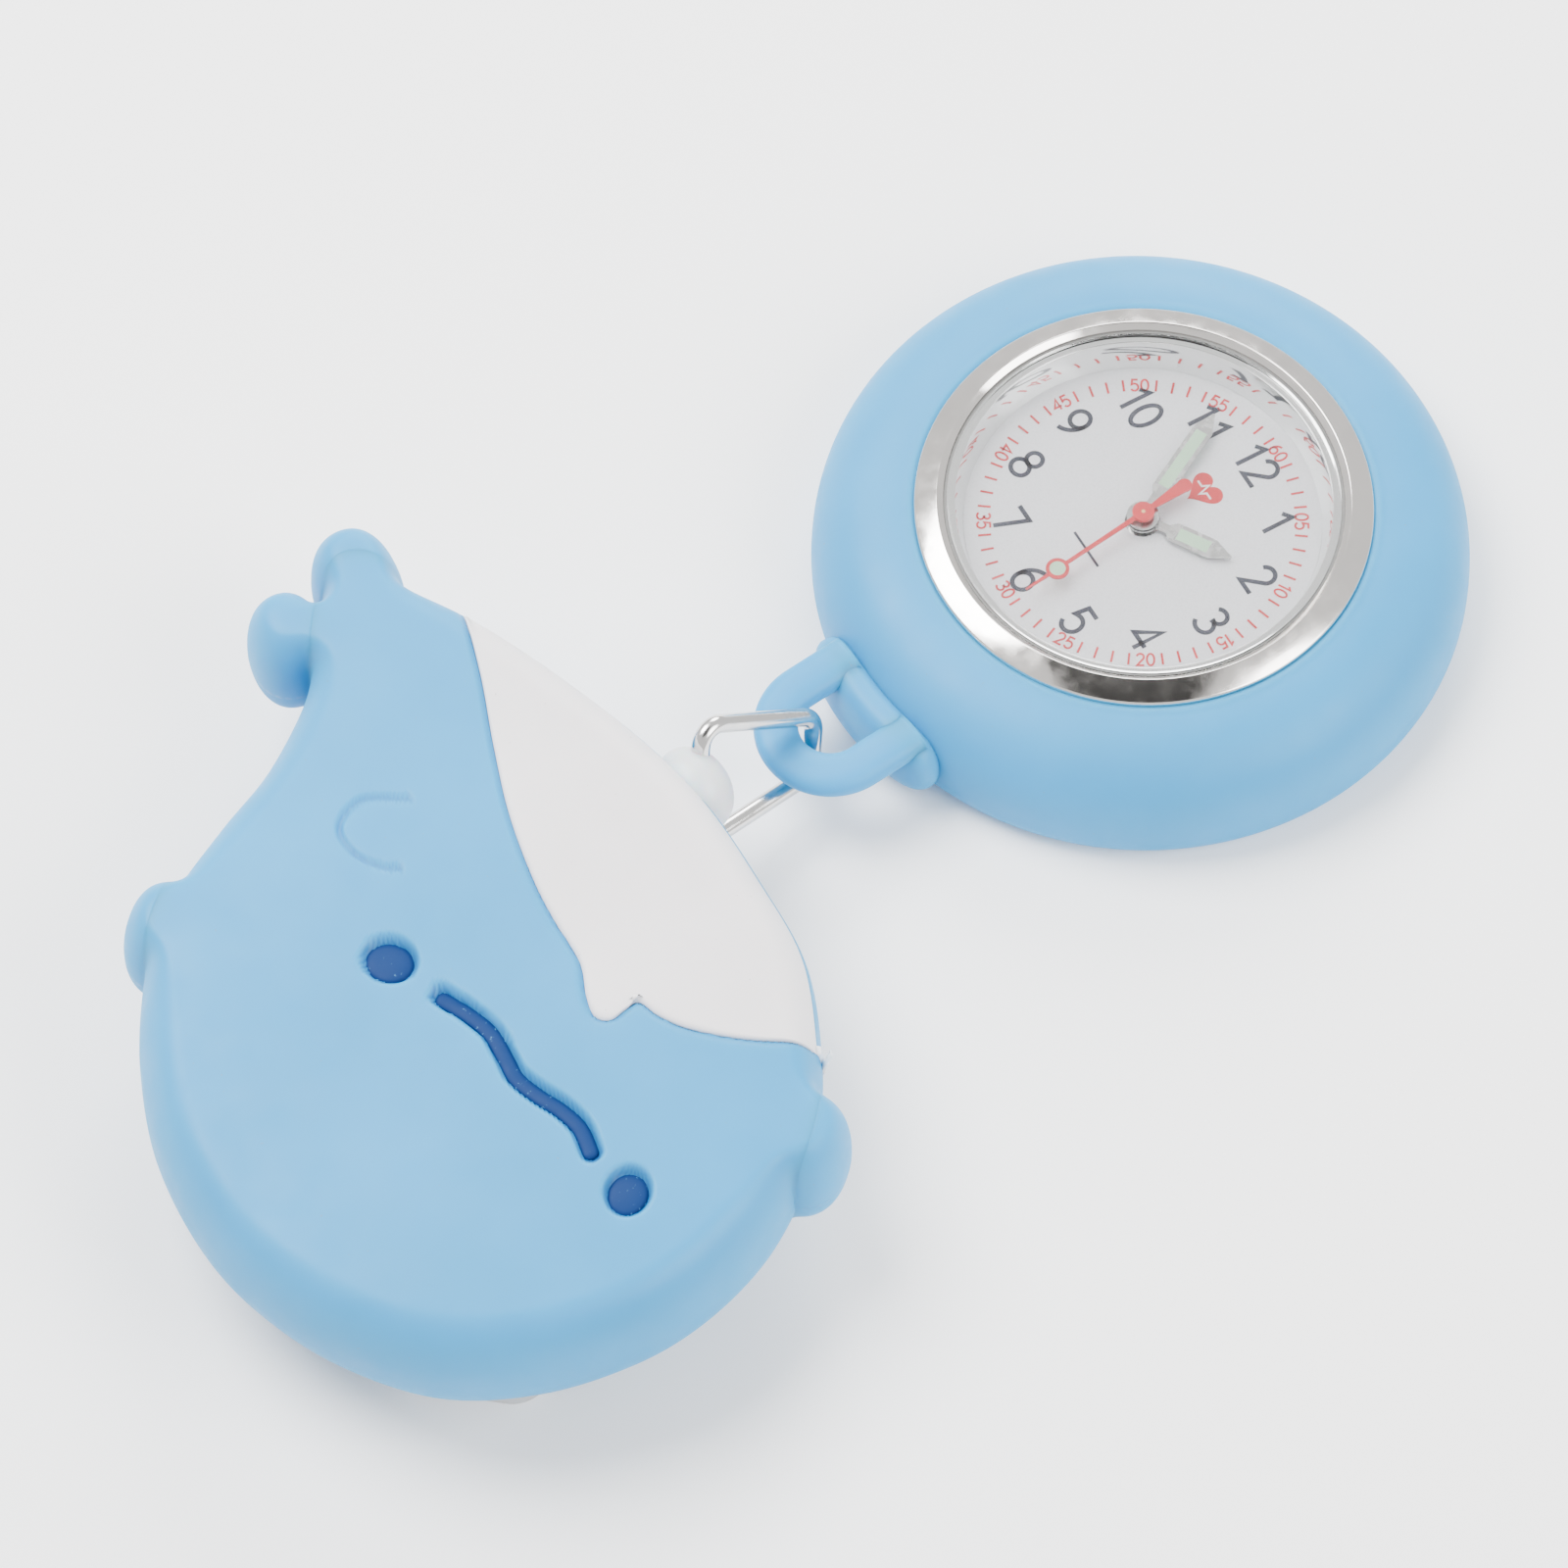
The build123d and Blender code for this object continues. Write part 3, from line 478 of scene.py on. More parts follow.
def lacquer(name, base):
    """Printed or lacquered surface."""
    f = Finish(name, base, 0.35, Coat_Weight=0.3, Coat_Roughness=0.12)
    f.roughness(f.noise(1500.0, 3.0), 0.3, 0.45)
    f.tint(f.noise(900.0, 3.0), tuple(0.95 * v + 0.01 for v in base), 0.35, 0.8)
    f.bump(f.noise(6000.0, 2.0), 0.0015, 0.4)
    return f.mat


def pearl(name, base):
    """Pearl dial lacquer: a fine sparkle under a clear coat."""
    f = Finish(name, base, 0.38, 0.12, Coat_Weight=0.4, Coat_Roughness=0.08)
    f.roughness(f.noise(5200.0, 3.0, 0.7), 0.28, 0.5)
    f.tint(f.noise(7800.0, 2.0, 0.7), tuple(0.9 * v for v in base), 0.42, 0.78)
    f.bump(f.noise(6400.0, 3.0, 0.7), 0.0012, 0.5)
    return f.mat


def glass(name):
    """Clear mineral glass."""
    f = Finish(name, (1.0, 1.0, 1.0), 0.02, Transmission_Weight=1.0, IOR=1.46)
    f.roughness(f.noise(400.0, 3.0), 0.0, 0.03)
    f.bump(f.noise(120.0, 2.0), 0.0004, 0.2)
    return f.mat


def braid(name, base):
    """Braided cord: crossed waves round and along the cord, on its own UV map, with painted shade in the
    hollows between the strands.
    """
    f = Finish(name, base, 0.75, Sheen_Weight=0.3)
    uv = f.coord.outputs["UV"]
    waves = []
    for turn in (0.6, -0.6):
        place = f.node("ShaderNodeMapping")
        place.inputs["Rotation"].default_value = (0, 0, turn)
        f.link(uv, place.inputs[0])
        wave = f.node("ShaderNodeTexWave")
        wave.inputs["Scale"].default_value = 5.0
        f.link(place.outputs[0], wave.inputs["Vector"])
        waves.append(wave.outputs["Fac"])
    top = f.node("ShaderNodeMath", operation="MAXIMUM")
    f.link(waves[0], top.inputs[0])
    f.link(waves[1], top.inputs[1])
    # painted shade: the hollows between the strands, where the waves are low, are tinted darker
    f.tint(top.outputs[0], shade(base, 0.72), 0.7, 0.2)
    f.bump(top.outputs[0], 0.06, 0.8)
    return f.mat


def repaint(nodes, material):
    """Give carried-over nodes a finish."""
    for name in nodes:
        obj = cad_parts[name]
        obj.data.materials.clear()
        obj.data.materials.append(material)


# --------------------------------------------------------------- whale ----
WHALE_CENTRE = np.array([-1.3, 0.6])
# outline of body and tail, anticlockwise from the side by the cord; flukes and fins are ovals
OUTLINE = [
    (18.6, 0.6), (17.6, -5.2), (14.8, -10.4), (12.0, -13.9), (9.0, -16.3), (5.0, -18.3), (0.2, -19.3),
    (-4.6, -19.1), (-10.2, -17.4), (-15.3, -14.0), (-18.9, -8.6), (-20.7, -3.0), (-21.0, 2.0), (-20.0, 7.6),
    (-17.7, 12.6), (-14.9, 16.5), (-12.3, 18.9), (-9.4, 20.7), (-5.4, 22.4), (-1.2, 23.9), (3.1, 26.4),
    (5.3, 28.4), (6.9, 30.2), (8.2, 31.7), (9.7, 32.4), (11.2, 32.0), (12.3, 30.6), (13.2, 28.6),
    (14.3, 26.6), (15.4, 24.1), (17.0, 19.0), (18.5, 12.6), (19.1, 6.8),
][::-1]
# flukes and fins: middle, half length, half width, turn in degrees
LOBES = ((10.9, 31.7, 3.3, 2.65, 80.0), (5.2, 30.7, 2.85, 2.45, 75.0),
         (-11.6, 18.6, 3.0, 2.6, 40.0), (10.3, -14.4, 3.2, 2.9, 37.0))
LOBE_POWER = 0.88                       # under 1: a lobe is squarer than an ellipse
RIM_Z = 8.3                             # height of the widest line of the cover
TOP_POWER, UNDER_POWER, UNDER_EDGE = 2.15, 2.3, 3.0    # roundness of the two edges, reach of the lower
# inner line of the belly patch; eyes as middle, half sizes and turn; mouth and brow
PATCH_LINE = [(14.3, 25.4), (12.2, 20.4), (10.1, 16.1), (8.2, 11.8), (6.9, 7.6), (6.3, 4.6),
              (5.9, 1.4), (4.9, -0.7), (4.55, -2.0), (5.1, -2.75), (6.2, -2.75), (7.15, -2.75),
              (7.6, -4.2), (8.5, -5.8), (10.3, -7.8), (12.4, -9.5), (14.9, -11.0)]
EYES = ((-3.0, 7.9, 1.2, 1.35, 36.0), (-0.4, -12.3, 1.1, 1.25, -54.0))
MOUTH = [(-1.9, 4.2), (-1.2, 2.3), (-0.9, 0.6), (-1.15, -1.2), (-1.35, -2.6), (-1.0, -4.2), (-0.45, -5.8),
         (-0.25, -7.4), (-0.65, -9.0)]
BROW = [(4.0, 16.0), (1.7, 17.6), (-0.4, 16.9), (-0.7, 14.9), (0.1, 13.2), (0.9, 12.5)]


class WhaleForm:
    """The whale's plan as a function of (turn, reach): turn 0..1 goes round the outline and reach
    0..1 from the middle to the outline.  Each ring is the outline scaled by reach, with its fine
    waves faded out the further in it lies.  Heights depend on the soft distance to the edge, and
    the edge is tighter near the flukes and fins."""
    SAMPLES = 2048
    LEVELS = 161
    FADE = 0.4          # how fast the waves fade inward
    EDGE = 2.7          # width of the rounded edge
    TIGHTER = 1.1       # how much narrower it is at a lobe

    def __init__(self, crown):
        """Work out the table of rings and the pieces of the outer edge."""
        line = smooth_line(OUTLINE, self.SAMPLES, closed=True)
        away = line - WHALE_CENTRE
        line = np.roll(line, -int(np.argmin(np.abs(np.arctan2(away[:, 1], away[:, 0])))), 0)
        waves = np.fft.fft((line[:, 0] - WHALE_CENTRE[0]) + 1j * (line[:, 1] - WHALE_CENTRE[1]))
        order = np.fft.fftfreq(self.SAMPLES, 1 / self.SAMPLES)
        reach = np.linspace(0, 1, self.LEVELS)[:, None]
        fade = np.exp(-0.5 * (order * self.FADE * (1 - reach)) ** 2)
        fade[:, 0] = 1.0
        self.table = np.fft.ifft(waves * fade, axis=1) * reach
        # the outer edge is the body's line outside every lobe and each lobe's line outside the body
        body = line[::4]
        free = ~self.in_lobe(*((body + np.roll(body, -1, 0)) / 2).T)
        starts, ends = [body[free]], [np.roll(body, -1, 0)[free]]
        for lobe in LOBES:
            ring = self.oval(lobe, np.linspace(0, 2 * np.pi, 121)[:-1], 1.0)
            free = ~inside(*((ring + np.roll(ring, -1, 0)) / 2).T, body)
            starts.append(ring[free])
            ends.append(np.roll(ring, -1, 0)[free])
        self.starts, self.ends, self.body = np.vstack(starts), np.vstack(ends), body
        self.crown = crown

    @staticmethod
    def oval(lobe, t, r):
        """Points of a squarish oval at angle t and share r of its size."""
        cx, cy, a, b, turn = lobe
        c, s = math.cos(math.radians(turn)), math.sin(math.radians(turn))
        u = a * r * np.sign(np.cos(t)) * np.abs(np.cos(t)) ** LOBE_POWER
        v = b * r * np.sign(np.sin(t)) * np.abs(np.sin(t)) ** LOBE_POWER
        return np.stack([cx + u * c - v * s, cy + u * s + v * c], -1)

    @staticmethod
    def in_lobe(x, y):
        """True where a point lies in any of the lobes."""
        hit = np.zeros(len(x), bool)
        for cx, cy, a, b, turn in LOBES:
            c, s = math.cos(math.radians(turn)), math.sin(math.radians(turn))
            u, v = ((x - cx) * c + (y - cy) * s) / a, (-(x - cx) * s + (y - cy) * c) / b
            hit |= np.abs(u) ** (2 / LOBE_POWER) + np.abs(v) ** (2 / LOBE_POWER) < 1
        return hit

    def plan(self, turn, reach):
        """(x, y) by straight-line interpolation in the table of rings."""
        a = (turn % 1.0) * self.SAMPLES
        b = np.clip(reach, 0, 1) * (self.LEVELS - 1)
        i, j = a.astype(int) % self.SAMPLES, np.minimum(b.astype(int), self.LEVELS - 2)
        fa, fb = a - np.floor(a), b - j
        i2 = (i + 1) % self.SAMPLES
        t = self.table
        p = ((t[j, i] * (1 - fa) + t[j, i2] * fa) * (1 - fb)
             + (t[j + 1, i] * (1 - fa) + t[j + 1, i2] * fa) * fb)
        return p.real + WHALE_CENTRE[0], p.imag + WHALE_CENTRE[1]

    def depth(self, x, y):
        """Soft distance inward from the outline.  Summing 1 / r cubed along the outline gives
        2 / d squared near a straight edge, so d is the root of 2 over the sum; each side of the
        outline adds its exact share, and the field has no crease anywhere inside."""
        a, d = self.starts, self.ends - self.starts
        size = np.hypot(d[:, 0], d[:, 1])
        ux, uy = d[:, 0] / size, d[:, 1] / size
        out = np.empty(len(x))
        for k in range(0, len(x), 20000):
            px, py = x[k:k + 20000, None] - a[:, 0], y[k:k + 20000, None] - a[:, 1]
            along, off = px * ux + py * uy, px * uy - py * ux
            h2 = off ** 2 + 1e-5
            rest = size - along
            share = (rest / np.sqrt(h2 + rest ** 2) + along / np.sqrt(h2 + along ** 2)) / h2
            out[k:k + 20000] = np.sqrt(2 / share.sum(1))
        return out

    def top(self, x, y, reach=None):
        """Height of the upper skin: a pillow that rises upright at the edge and levels off."""
        d = self.depth(x, y)
        near = sum(np.exp(-((x - lobe[0]) ** 2 + (y - lobe[1]) ** 2) / 18.0) for lobe in LOBES)
        t = np.clip(d / (self.EDGE - self.TIGHTER * np.clip(near, 0, 1)), 0, 1)
        rise = 1 - (1 - t) ** TOP_POWER
        full = WHALE_HI[2] - RIM_Z
        level = 1 - self.crown / full * np.clip(1 - d / 11.0, 0, 1) ** 2
        z = RIM_Z + full * level * rise ** (1 / TOP_POWER)
        return z if reach is None else np.where((reach >= 0.9999) & ~self.in_lobe(x, y), RIM_Z, z)

    def under(self, x, y):
        """Height of the lower skin, which turns in more tightly."""
        t = np.clip(self.depth(x, y) / UNDER_EDGE, 0, 1)
        return RIM_Z - (RIM_Z - WHALE_LO[2]) * (1 - (1 - t) ** UNDER_POWER) ** (1 / UNDER_POWER)

    def find(self, x, y):
        """(turn, reach) of plan points, by Newton steps from a round guess."""
        turn = (np.arctan2(y - WHALE_CENTRE[1], x - WHALE_CENTRE[0]) / (2 * np.pi)) % 1.0
        px, py = self.plan(turn, np.ones_like(turn))
        reach = (np.hypot(x - WHALE_CENTRE[0], y - WHALE_CENTRE[1])
                 / np.hypot(px - WHALE_CENTRE[0], py - WHALE_CENTRE[1]))
        for _ in range(12):
            h = 2e-3
            fx, fy = self.plan(turn, reach)
            ax, ay = self.plan(turn + h, reach)
            bx, by = self.plan(turn, reach - h)
            ux, uy, vx, vy = (ax - fx) / h, (ay - fy) / h, (fx - bx) / h, (fy - by) / h
            det = ux * vy - uy * vx
            det = np.where(np.abs(det) < 1e-6, 1e-6, det)
            ex, ey = x - fx, y - fy
            turn = turn + np.clip((ex * vy - ey * vx) / det, -0.03, 0.03)
            reach = np.clip(reach + np.clip((ux * ey - uy * ex) / det, -0.1, 0.1), 0.0, 1.0)
        return turn, reach


def line_distance(x, y, line):
    """Distance from each point to the nearest place on a polyline."""
    p = np.stack([x, y], -1)[:, None]
    a, b = line[:-1][None], line[1:][None]
    d = b - a
    t = np.clip(((p - a) * d).sum(-1) / (d * d).sum(-1), 0, 1)
    return np.sqrt((((a + t[..., None] * d) - p) ** 2).sum(-1).min(1))


def inside(x, y, loop):
    """True where a point lies inside a closed polyline: odd count of crossings to its right."""
    a, b = loop[None], np.roll(loop, -1, 0)[None]
    yy = y[:, None]
    cross = (a[..., 1] > yy) != (b[..., 1] > yy)
    dy = b[..., 1] - a[..., 1]
    dy = np.where(dy == 0, 1e-12, dy)
    at = a[..., 0] + (yy - a[..., 1]) * (b[..., 0] - a[..., 0]) / dy
    return (cross & (x[:, None] < at)).sum(1) % 2 == 1


def eye_reach(x, y, eye):
    """0 at the middle of an eye, 1 on its oval."""
    cx, cy, a, b, turn = eye
    c, s = math.cos(math.radians(turn)), math.sin(math.radians(turn))
    u, v = (x - cx) * c + (y - cy) * s, -(x - cx) * s + (y - cy) * c
    return np.hypot(u / a, v / b)


def face_marks(x, y, depth):
    """How far the eyes, mouth and brow sink below the plain skin."""
    sink = np.zeros_like(x)
    for eye in EYES:
        r = eye_reach(x, y, eye)
        sink = np.maximum(sink, depth * (1 - step((r - 1.05) / 0.33)))
    near = line_distance(x, y, smooth_line(MOUTH, 60))
    sink = np.maximum(sink, depth * (1 - step((near - 0.48) / 0.34)))
    near = line_distance(x, y, smooth_line(BROW, 40))
    return np.maximum(sink, 0.22 * (1 - step((near - 0.06) / 0.24)))


def patch_region(x, y):
    """Signed plan distance to the belly patch's inner line: positive on the patch."""
    line = smooth_line(PATCH_LINE, 120)
    loop = np.vstack([line, [(40, -11), (40, 26)]])
    near = line_distance(x, y, line)
    return np.where(inside(x, y, loop), near, -near)


def seat_for_stopper(p):
    """Push the rim back round the stopper, into a round seat a little larger than it."""
    r = BEAD_R + 0.35
    dy, dz = p[:, 1] - BEAD[1], p[:, 2] - BEAD[2]
    q = np.hypot(dy, dz)
    back = BEAD[0] - np.sqrt(np.clip(r * r - q * q, 0, None))
    hit = (q < r) & (p[:, 0] > back)
    p[:, 0] = np.where(hit, back, p[:, 0])
    # open the seat downwards for the lower corner of the link
    slot = (np.abs(dy + 0.9) < 2.1) & (dz < 0) & (p[:, 0] > BEAD[0] - r)
    p[:, 0] = np.where(slot, np.minimum(p[:, 0], BEAD[0] - r + 0.2 * np.abs(dy + 0.9)), p[:, 0])
    return p


def whale_skin(form, skin):
    """Top, side, underside and the pocket for the reel as one closed sheet."""
    z = sizes()
    n = z.whale_grid + 1
    # square grid folded into concentric rings: the ring is the larger of |u| and |v|
    u, v = np.meshgrid(np.linspace(-1, 1, n), np.linspace(-1, 1, n), indexing="ij")
    u, v = u.ravel(), v.ravel()
    ring = np.maximum(np.abs(u), np.abs(v))
    safe = np.where(ring == 0, 1, ring)
    wide = np.abs(u) >= np.abs(v)
    turn = np.where(wide, np.where(u >= 0, 0, 4) + v / safe * np.where(u >= 0, 1, -1),
                    np.where(v >= 0, 2, 6) - u / safe * np.where(v >= 0, 1, -1)) / 8.0
    reach = 1 - (1 - ring) ** 1.5
    x, y = form.plan(turn, reach)
    sink = face_marks(x, y, z.recess)
    on_patch = patch_region(x, y)
    # painted shade: a weight per point, 1 deep in the eye and mouth recesses, less in the brow and in the
    # groove round the belly patch, for the darker tint of the skin
    recess_shade_weight = np.clip(sink / z.recess, 0, 1)
    sink = np.maximum(sink, 0.6 * step((on_patch + 0.13) / 0.22) * step((0.985 - reach) / 0.02))
    groove = step(1 - np.abs(on_patch + 0.12) / 0.3) * step((0.985 - reach) / 0.02)
    sink = np.maximum(sink, 0.16 * groove)
    recess_shade_weight = np.maximum(recess_shade_weight, 0.35 * groove)
    edge = form.depth(x, y)
    sink *= step(edge / 0.5)
    top = np.stack([x, y, form.top(x, y, reach) - sink], -1)
    grid_faces = quads(n, n)
    # border of the square, anticlockwise, carried down the side, under, and into the pocket
    k = np.arange(n)
    border = np.concatenate([k[:-1] * n, (n - 1) * n + k[:-1], k[::-1][:-1] * n + n - 1, k[::-1][:-1]])
    bt = turn[border]
    rows = []
    for r in 1 - np.linspace(0, 1, 16)[1:] ** 2.2 * 0.16:
        bx, by = form.plan(bt, np.full_like(bt, r))
        rows.append(np.stack([bx, by, form.under(bx, by)], -1))
    ex, ey = rows[-1][:, 0], rows[-1][:, 1]
    angle = np.arctan2(ey, ex)
    lip = (REEL_HI - REEL_LO)[0] / 2 - 2.0
    pocket = (REEL_HI - REEL_LO)[0] / 2 + 0.02
    bottom, seat_z, roof_z = WHALE_LO[2], WHALE_LO[2] + 0.68, 11.14

    def ring_at(r, h):
        """A level circle with a point under each point of the border."""
        return np.stack([r * np.cos(angle), r * np.sin(angle), np.full_like(angle, h)], -1)

    flat = ring_at(lip + 0.25, bottom)
    rows += [rows[-1] * (1 - w) + flat * w for w in (0.3, 0.65, 1.0)]
    rows += [ring_at(lip, bottom + 0.25), ring_at(lip, seat_z), ring_at(pocket, seat_z),
             ring_at(pocket, roof_z), ring_at(pocket * 0.5, roof_z)]
    m = len(border)
    strip = np.vstack(rows)
    verts = np.vstack([top, strip, [[0, 0, roof_z]]])
    index = np.vstack([border[None], len(top) + np.arange(len(rows) * m).reshape(len(rows), m)])
    i, j = np.arange(len(rows))[:, None], np.arange(m)[None]
    j2 = (j + 1) % m
    side = np.stack([index[i, j], index[i, j2], index[i + 1, j2], index[i + 1, j]], -1).reshape(-1, 4)
    last = index[-1]
    cap = np.stack([last, np.roll(last, -1), np.full(m, len(verts) - 1)], -1)
    verts[:-1] = seat_for_stopper(verts[:-1])
    obj = piece("whale_skin", verts, [grid_faces, side, cap], skin, "reel", ("whale_cover",),
                "silicone_blue")
    outward(obj)
    mark(obj, np.concatenate([recess_shade_weight, np.zeros(len(verts) - len(recess_shade_weight))]))


def flukes_and_fins(form, skin):
    """Closed ovals that share the body's height, a hair below it where they overlap."""
    hair, floor_z = 0.035, WHALE_LO[2] + 1.1
    blocks = []
    for lobe in LOBES:
        t, r = np.meshgrid(np.linspace(0, 2 * np.pi, 145)[:-1],
                           np.sin(np.linspace(0.02, 1, 44) * np.pi / 2))
        x, y = form.oval(lobe, t, r).reshape(-1, 2).T
        over = inside(x, y, form.body)
        hi = form.top(x, y) - hair * over
        last = np.zeros(t.shape, bool)
        last[-1] = True
        hi = np.where(last.ravel() & ~over, RIM_Z, hi)
        lo = np.maximum(form.under(x, y), floor_z)
        above = np.column_stack([x, y, hi]).reshape(*t.shape, 3)
        below = np.column_stack([x, y, lo]).reshape(*t.shape, 3)[::-1]
        mx, my = np.array([lobe[0]]), np.array([lobe[1]])
        peak = form.top(mx, my) - hair * inside(mx, my, form.body)
        foot = np.maximum(form.under(mx, my), floor_z)
        grid = np.concatenate([above, below])
        n_rows, n_cols = grid.shape[:2]
        v = np.vstack([grid.reshape(-1, 3), np.column_stack([mx, my, peak]),
                       np.column_stack([mx, my, foot])])
        k = np.arange(n_cols)
        k2, end = (k + 1) % n_cols, (n_rows - 1) * n_cols
        f = [quads(n_rows, n_cols, wrap_cols=True),
             np.stack([k2, k, np.full(n_cols, len(v) - 2)], -1),
             np.stack([end + k, end + k2, np.full(n_cols, len(v) - 1)], -1)]
        blocks.append((v, f))
    obj = piece("flukes_and_fins", *join(*blocks), skin, "reel", (), "silicone_blue")
    outward(obj)
    mark(obj, np.zeros(len(obj.data.vertices)))


def belly_inlay(form):
    """Belly patch, ruled from its inner line to a line just inside the rim."""
    count, rim_reach, skirt = 320, 0.982, 0.55
    line = smooth_line(PATCH_LINE, count)
    turn = form.find(line[:, 0], line[:, 1])[0]
    s = np.linspace(0, 1, count)
    turn = np.unwrap(turn * 2 * np.pi) / (2 * np.pi)
    outer_turn = turn[0] + (turn[-1] - turn[0]) * s
    ox, oy = form.plan(outer_turn, np.full_like(s, rim_reach))
    w = np.linspace(0, 1, 56)[:, None]
    px = line[:, 0] * (1 - w) + ox * w
    py = line[:, 1] * (1 - w) + oy * w
    height = form.top(px.ravel(), py.ravel()).reshape(px.shape)
    edge = np.minimum(np.minimum(w, 1 - w) * 14.0, np.minimum(s, 1 - s)[None] * 34.0)
    height = height - 0.16 * (1 - step(edge / 0.4)) + 0.01
    skirt_in = np.stack([line[:, 0], line[:, 1], height[0] - skirt], -1)
    skirt_out = np.stack([ox, oy, height[-1] - skirt], -1)
    grid = np.concatenate([skirt_in[None], np.stack([px, py, height], -1), skirt_out[None]])
    white = silicone("white_silicone", tuple(colours().belly))
    obj = piece("belly_inlay", grid.reshape(-1, 3), [quads(*grid.shape[:2], flip=True)], white, "reel",
                ("belly_patch",), "silicone_white")
    solid = obj.modifiers.new("thickness", "SOLIDIFY")
    solid.thickness, solid.offset = 0.25 * MM, -1
    outward(obj, shell=True)


def eyes_and_mouth(form):
    """Low domes and a bead at the bottom of their recesses."""
    recess = sizes().recess
    navy = inlay("navy_silicone", tuple(colours().navy))
    blocks = []
    for cx, cy, a, b, turn_deg in EYES:
        z0 = float(form.top(np.array([cx]), np.array([cy]))[0]) - recess
        rr = np.linspace(0, 1, 14)
        dome = np.stack([rr[::-1], z0 + 0.02 + 0.22 * np.sqrt(1 - rr[::-1] ** 2)], -1)
        v, f = lathe(dome, (0, 0), 72)
        co, si = math.cos(math.radians(turn_deg)), math.sin(math.radians(turn_deg))
        ex, ey = v[:, 0] * a * 1.06, v[:, 1] * b * 1.06
        v = np.stack([cx + ex * co - ey * si, cy + ex * si + ey * co, v[:, 2]], -1)
        blocks.append((v, f))
    obj = piece("eyes", *join(*blocks), navy, "reel", ("eye_inlays",), "silicone_navy")
    outward(obj)
    ends = np.array([MOUTH[0], MOUTH[-1]]) + 0.35 * np.array([(-0.35, 0.94), (-0.25, -0.97)])
    x, y = smooth_line([tuple(ends[0]), *MOUTH[1:-1], tuple(ends[1])], 150).T
    path = np.stack([x, y, form.top(x, y) - recess + 0.02], -1)
    q = np.linspace(-1, 1, 150)
    ends = np.sqrt(np.clip(1 - (np.clip(np.abs(q) - 0.94, 0, 1) / 0.06) ** 2, 0.02, 1))
    v, f = tube(path, circle_section(0.5, 0.2, 20), (0, 0, 1), scale=ends)
    obj = piece("mouth", v, f, navy, "reel", ("mouth_inlay",), "silicone_navy")
    outward(obj)


def build_whale():
    """The whale cover with its flukes, fins, patch, eyes and mouth."""
    form = WhaleForm(sizes().whale_crown)
    # the darker blue given for the recesses is painted shade
    skin = silicone("blue_silicone", tuple(colours().silicone), recess_shade=(0.003, 0.11, 0.33))
    whale_skin(form, skin)
    flukes_and_fins(form, skin)
    belly_inlay(form)
    eyes_and_mouth(form)


def mark(obj, values):
    """Keep one number per point for the finish to read: 1 where the surface is sunk, where the skin is
    painted darker as shade.
    """
    layer = obj.data.attributes.new("recess_shade_weight", "FLOAT", "POINT")
    layer.data.foreach_set("value", np.asarray(values, np.float32))


def outward(obj, shell=False):
    """Turn every face of a closed piece to point out."""
    bm = bmesh.new()
    bm.from_mesh(obj.data)
    bmesh.ops.recalc_face_normals(bm, faces=bm.faces)
    if shell:
        up = sum(f.normal.z * f.calc_area() for f in bm.faces)
        if up < 0:
            bmesh.ops.reverse_faces(bm, faces=bm.faces)
    bm.to_mesh(obj.data)
    bm.free()


# ---------------------------------------------------------------- reel ----
def build_reel():
    """Finishes of the reel, the stopper bead and the cord."""
    c = colours()
    plastic = moulded("white_plastic", tuple(c.plastic), Subsurface_Weight=0.1, Subsurface_Scale=0.002)
    repaint(("reel_back_shell", "reel_front_shell", "spring_arbor", "cord_spout", "cord_spool",
             "spring_cover", "clip_washer"), plastic)
    repaint(("centre_rivet", "power_spring"), turned_metal("rivet_steel", tuple(c.metal), (0, 0)))
    # stopper bead: a ball slightly flattened where the cord enters
    t = np.linspace(0, np.pi, 61)
    prof = np.stack([np.sin(t) * 0.88 * BEAD_R, -np.cos(t) * 0.7 * BEAD_R], -1)
    prof[0, 0] = prof[-1, 0] = 0
    v, f = lathe(prof, (0, 0), 96)
    v = np.stack([BEAD[0] - 0.3 + v[:, 2], BEAD[1] + v[:, 1], BEAD[2] + v[:, 0]], -1)
    milky = moulded("milky_plastic", (0.80, 0.83, 0.86), Subsurface_Weight=0.7, Subsurface_Scale=0.004,
                    Transmission_Weight=0.25)
    obj = piece("stopper_bead", v, f, milky, "cord_end", ("cord_stopper",), "abs_white")
    outward(obj)
    # cord: a round tube that draws out of the spout when the watch is pulled
    n, sides = 220, 20
    x = np.linspace(CORD_LO[0], CORD_HI[0], n)
    r = (CORD_HI - CORD_LO)[2] / 2
    mid = (CORD_LO + CORD_HI) / 2
    path = np.stack([x, np.full(n, mid[1]), np.full(n, mid[2])], -1)
    v, f = tube(path, circle_section(r, count=sides), (0, 0, 1))
    uv = np.zeros((len(v), 2))
    uv[:n * sides, 0] = np.repeat((x - x[0]) * 1.2, sides)
    uv[:n * sides, 1] = np.tile(np.linspace(0, 2, sides, endpoint=False), n)
    made = piece("cord", v, f, braid("cord_braid", (0.86, 0.86, 0.85)), None, ("cord_lead",), "cord", uv=uv)
    outward(made)
    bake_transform(made)
    repaint(("wound_cord",), made.data.materials[0])


def build_clip():
    """Finish of the clip."""
    c = colours()
    steel = sheet_steel("spring_steel", shade(tuple(c.metal), 0.92), math.radians(136.0))
    repaint(("clip_leaf", "clip_jaw", "clip_pin", "clip_spring"), steel)


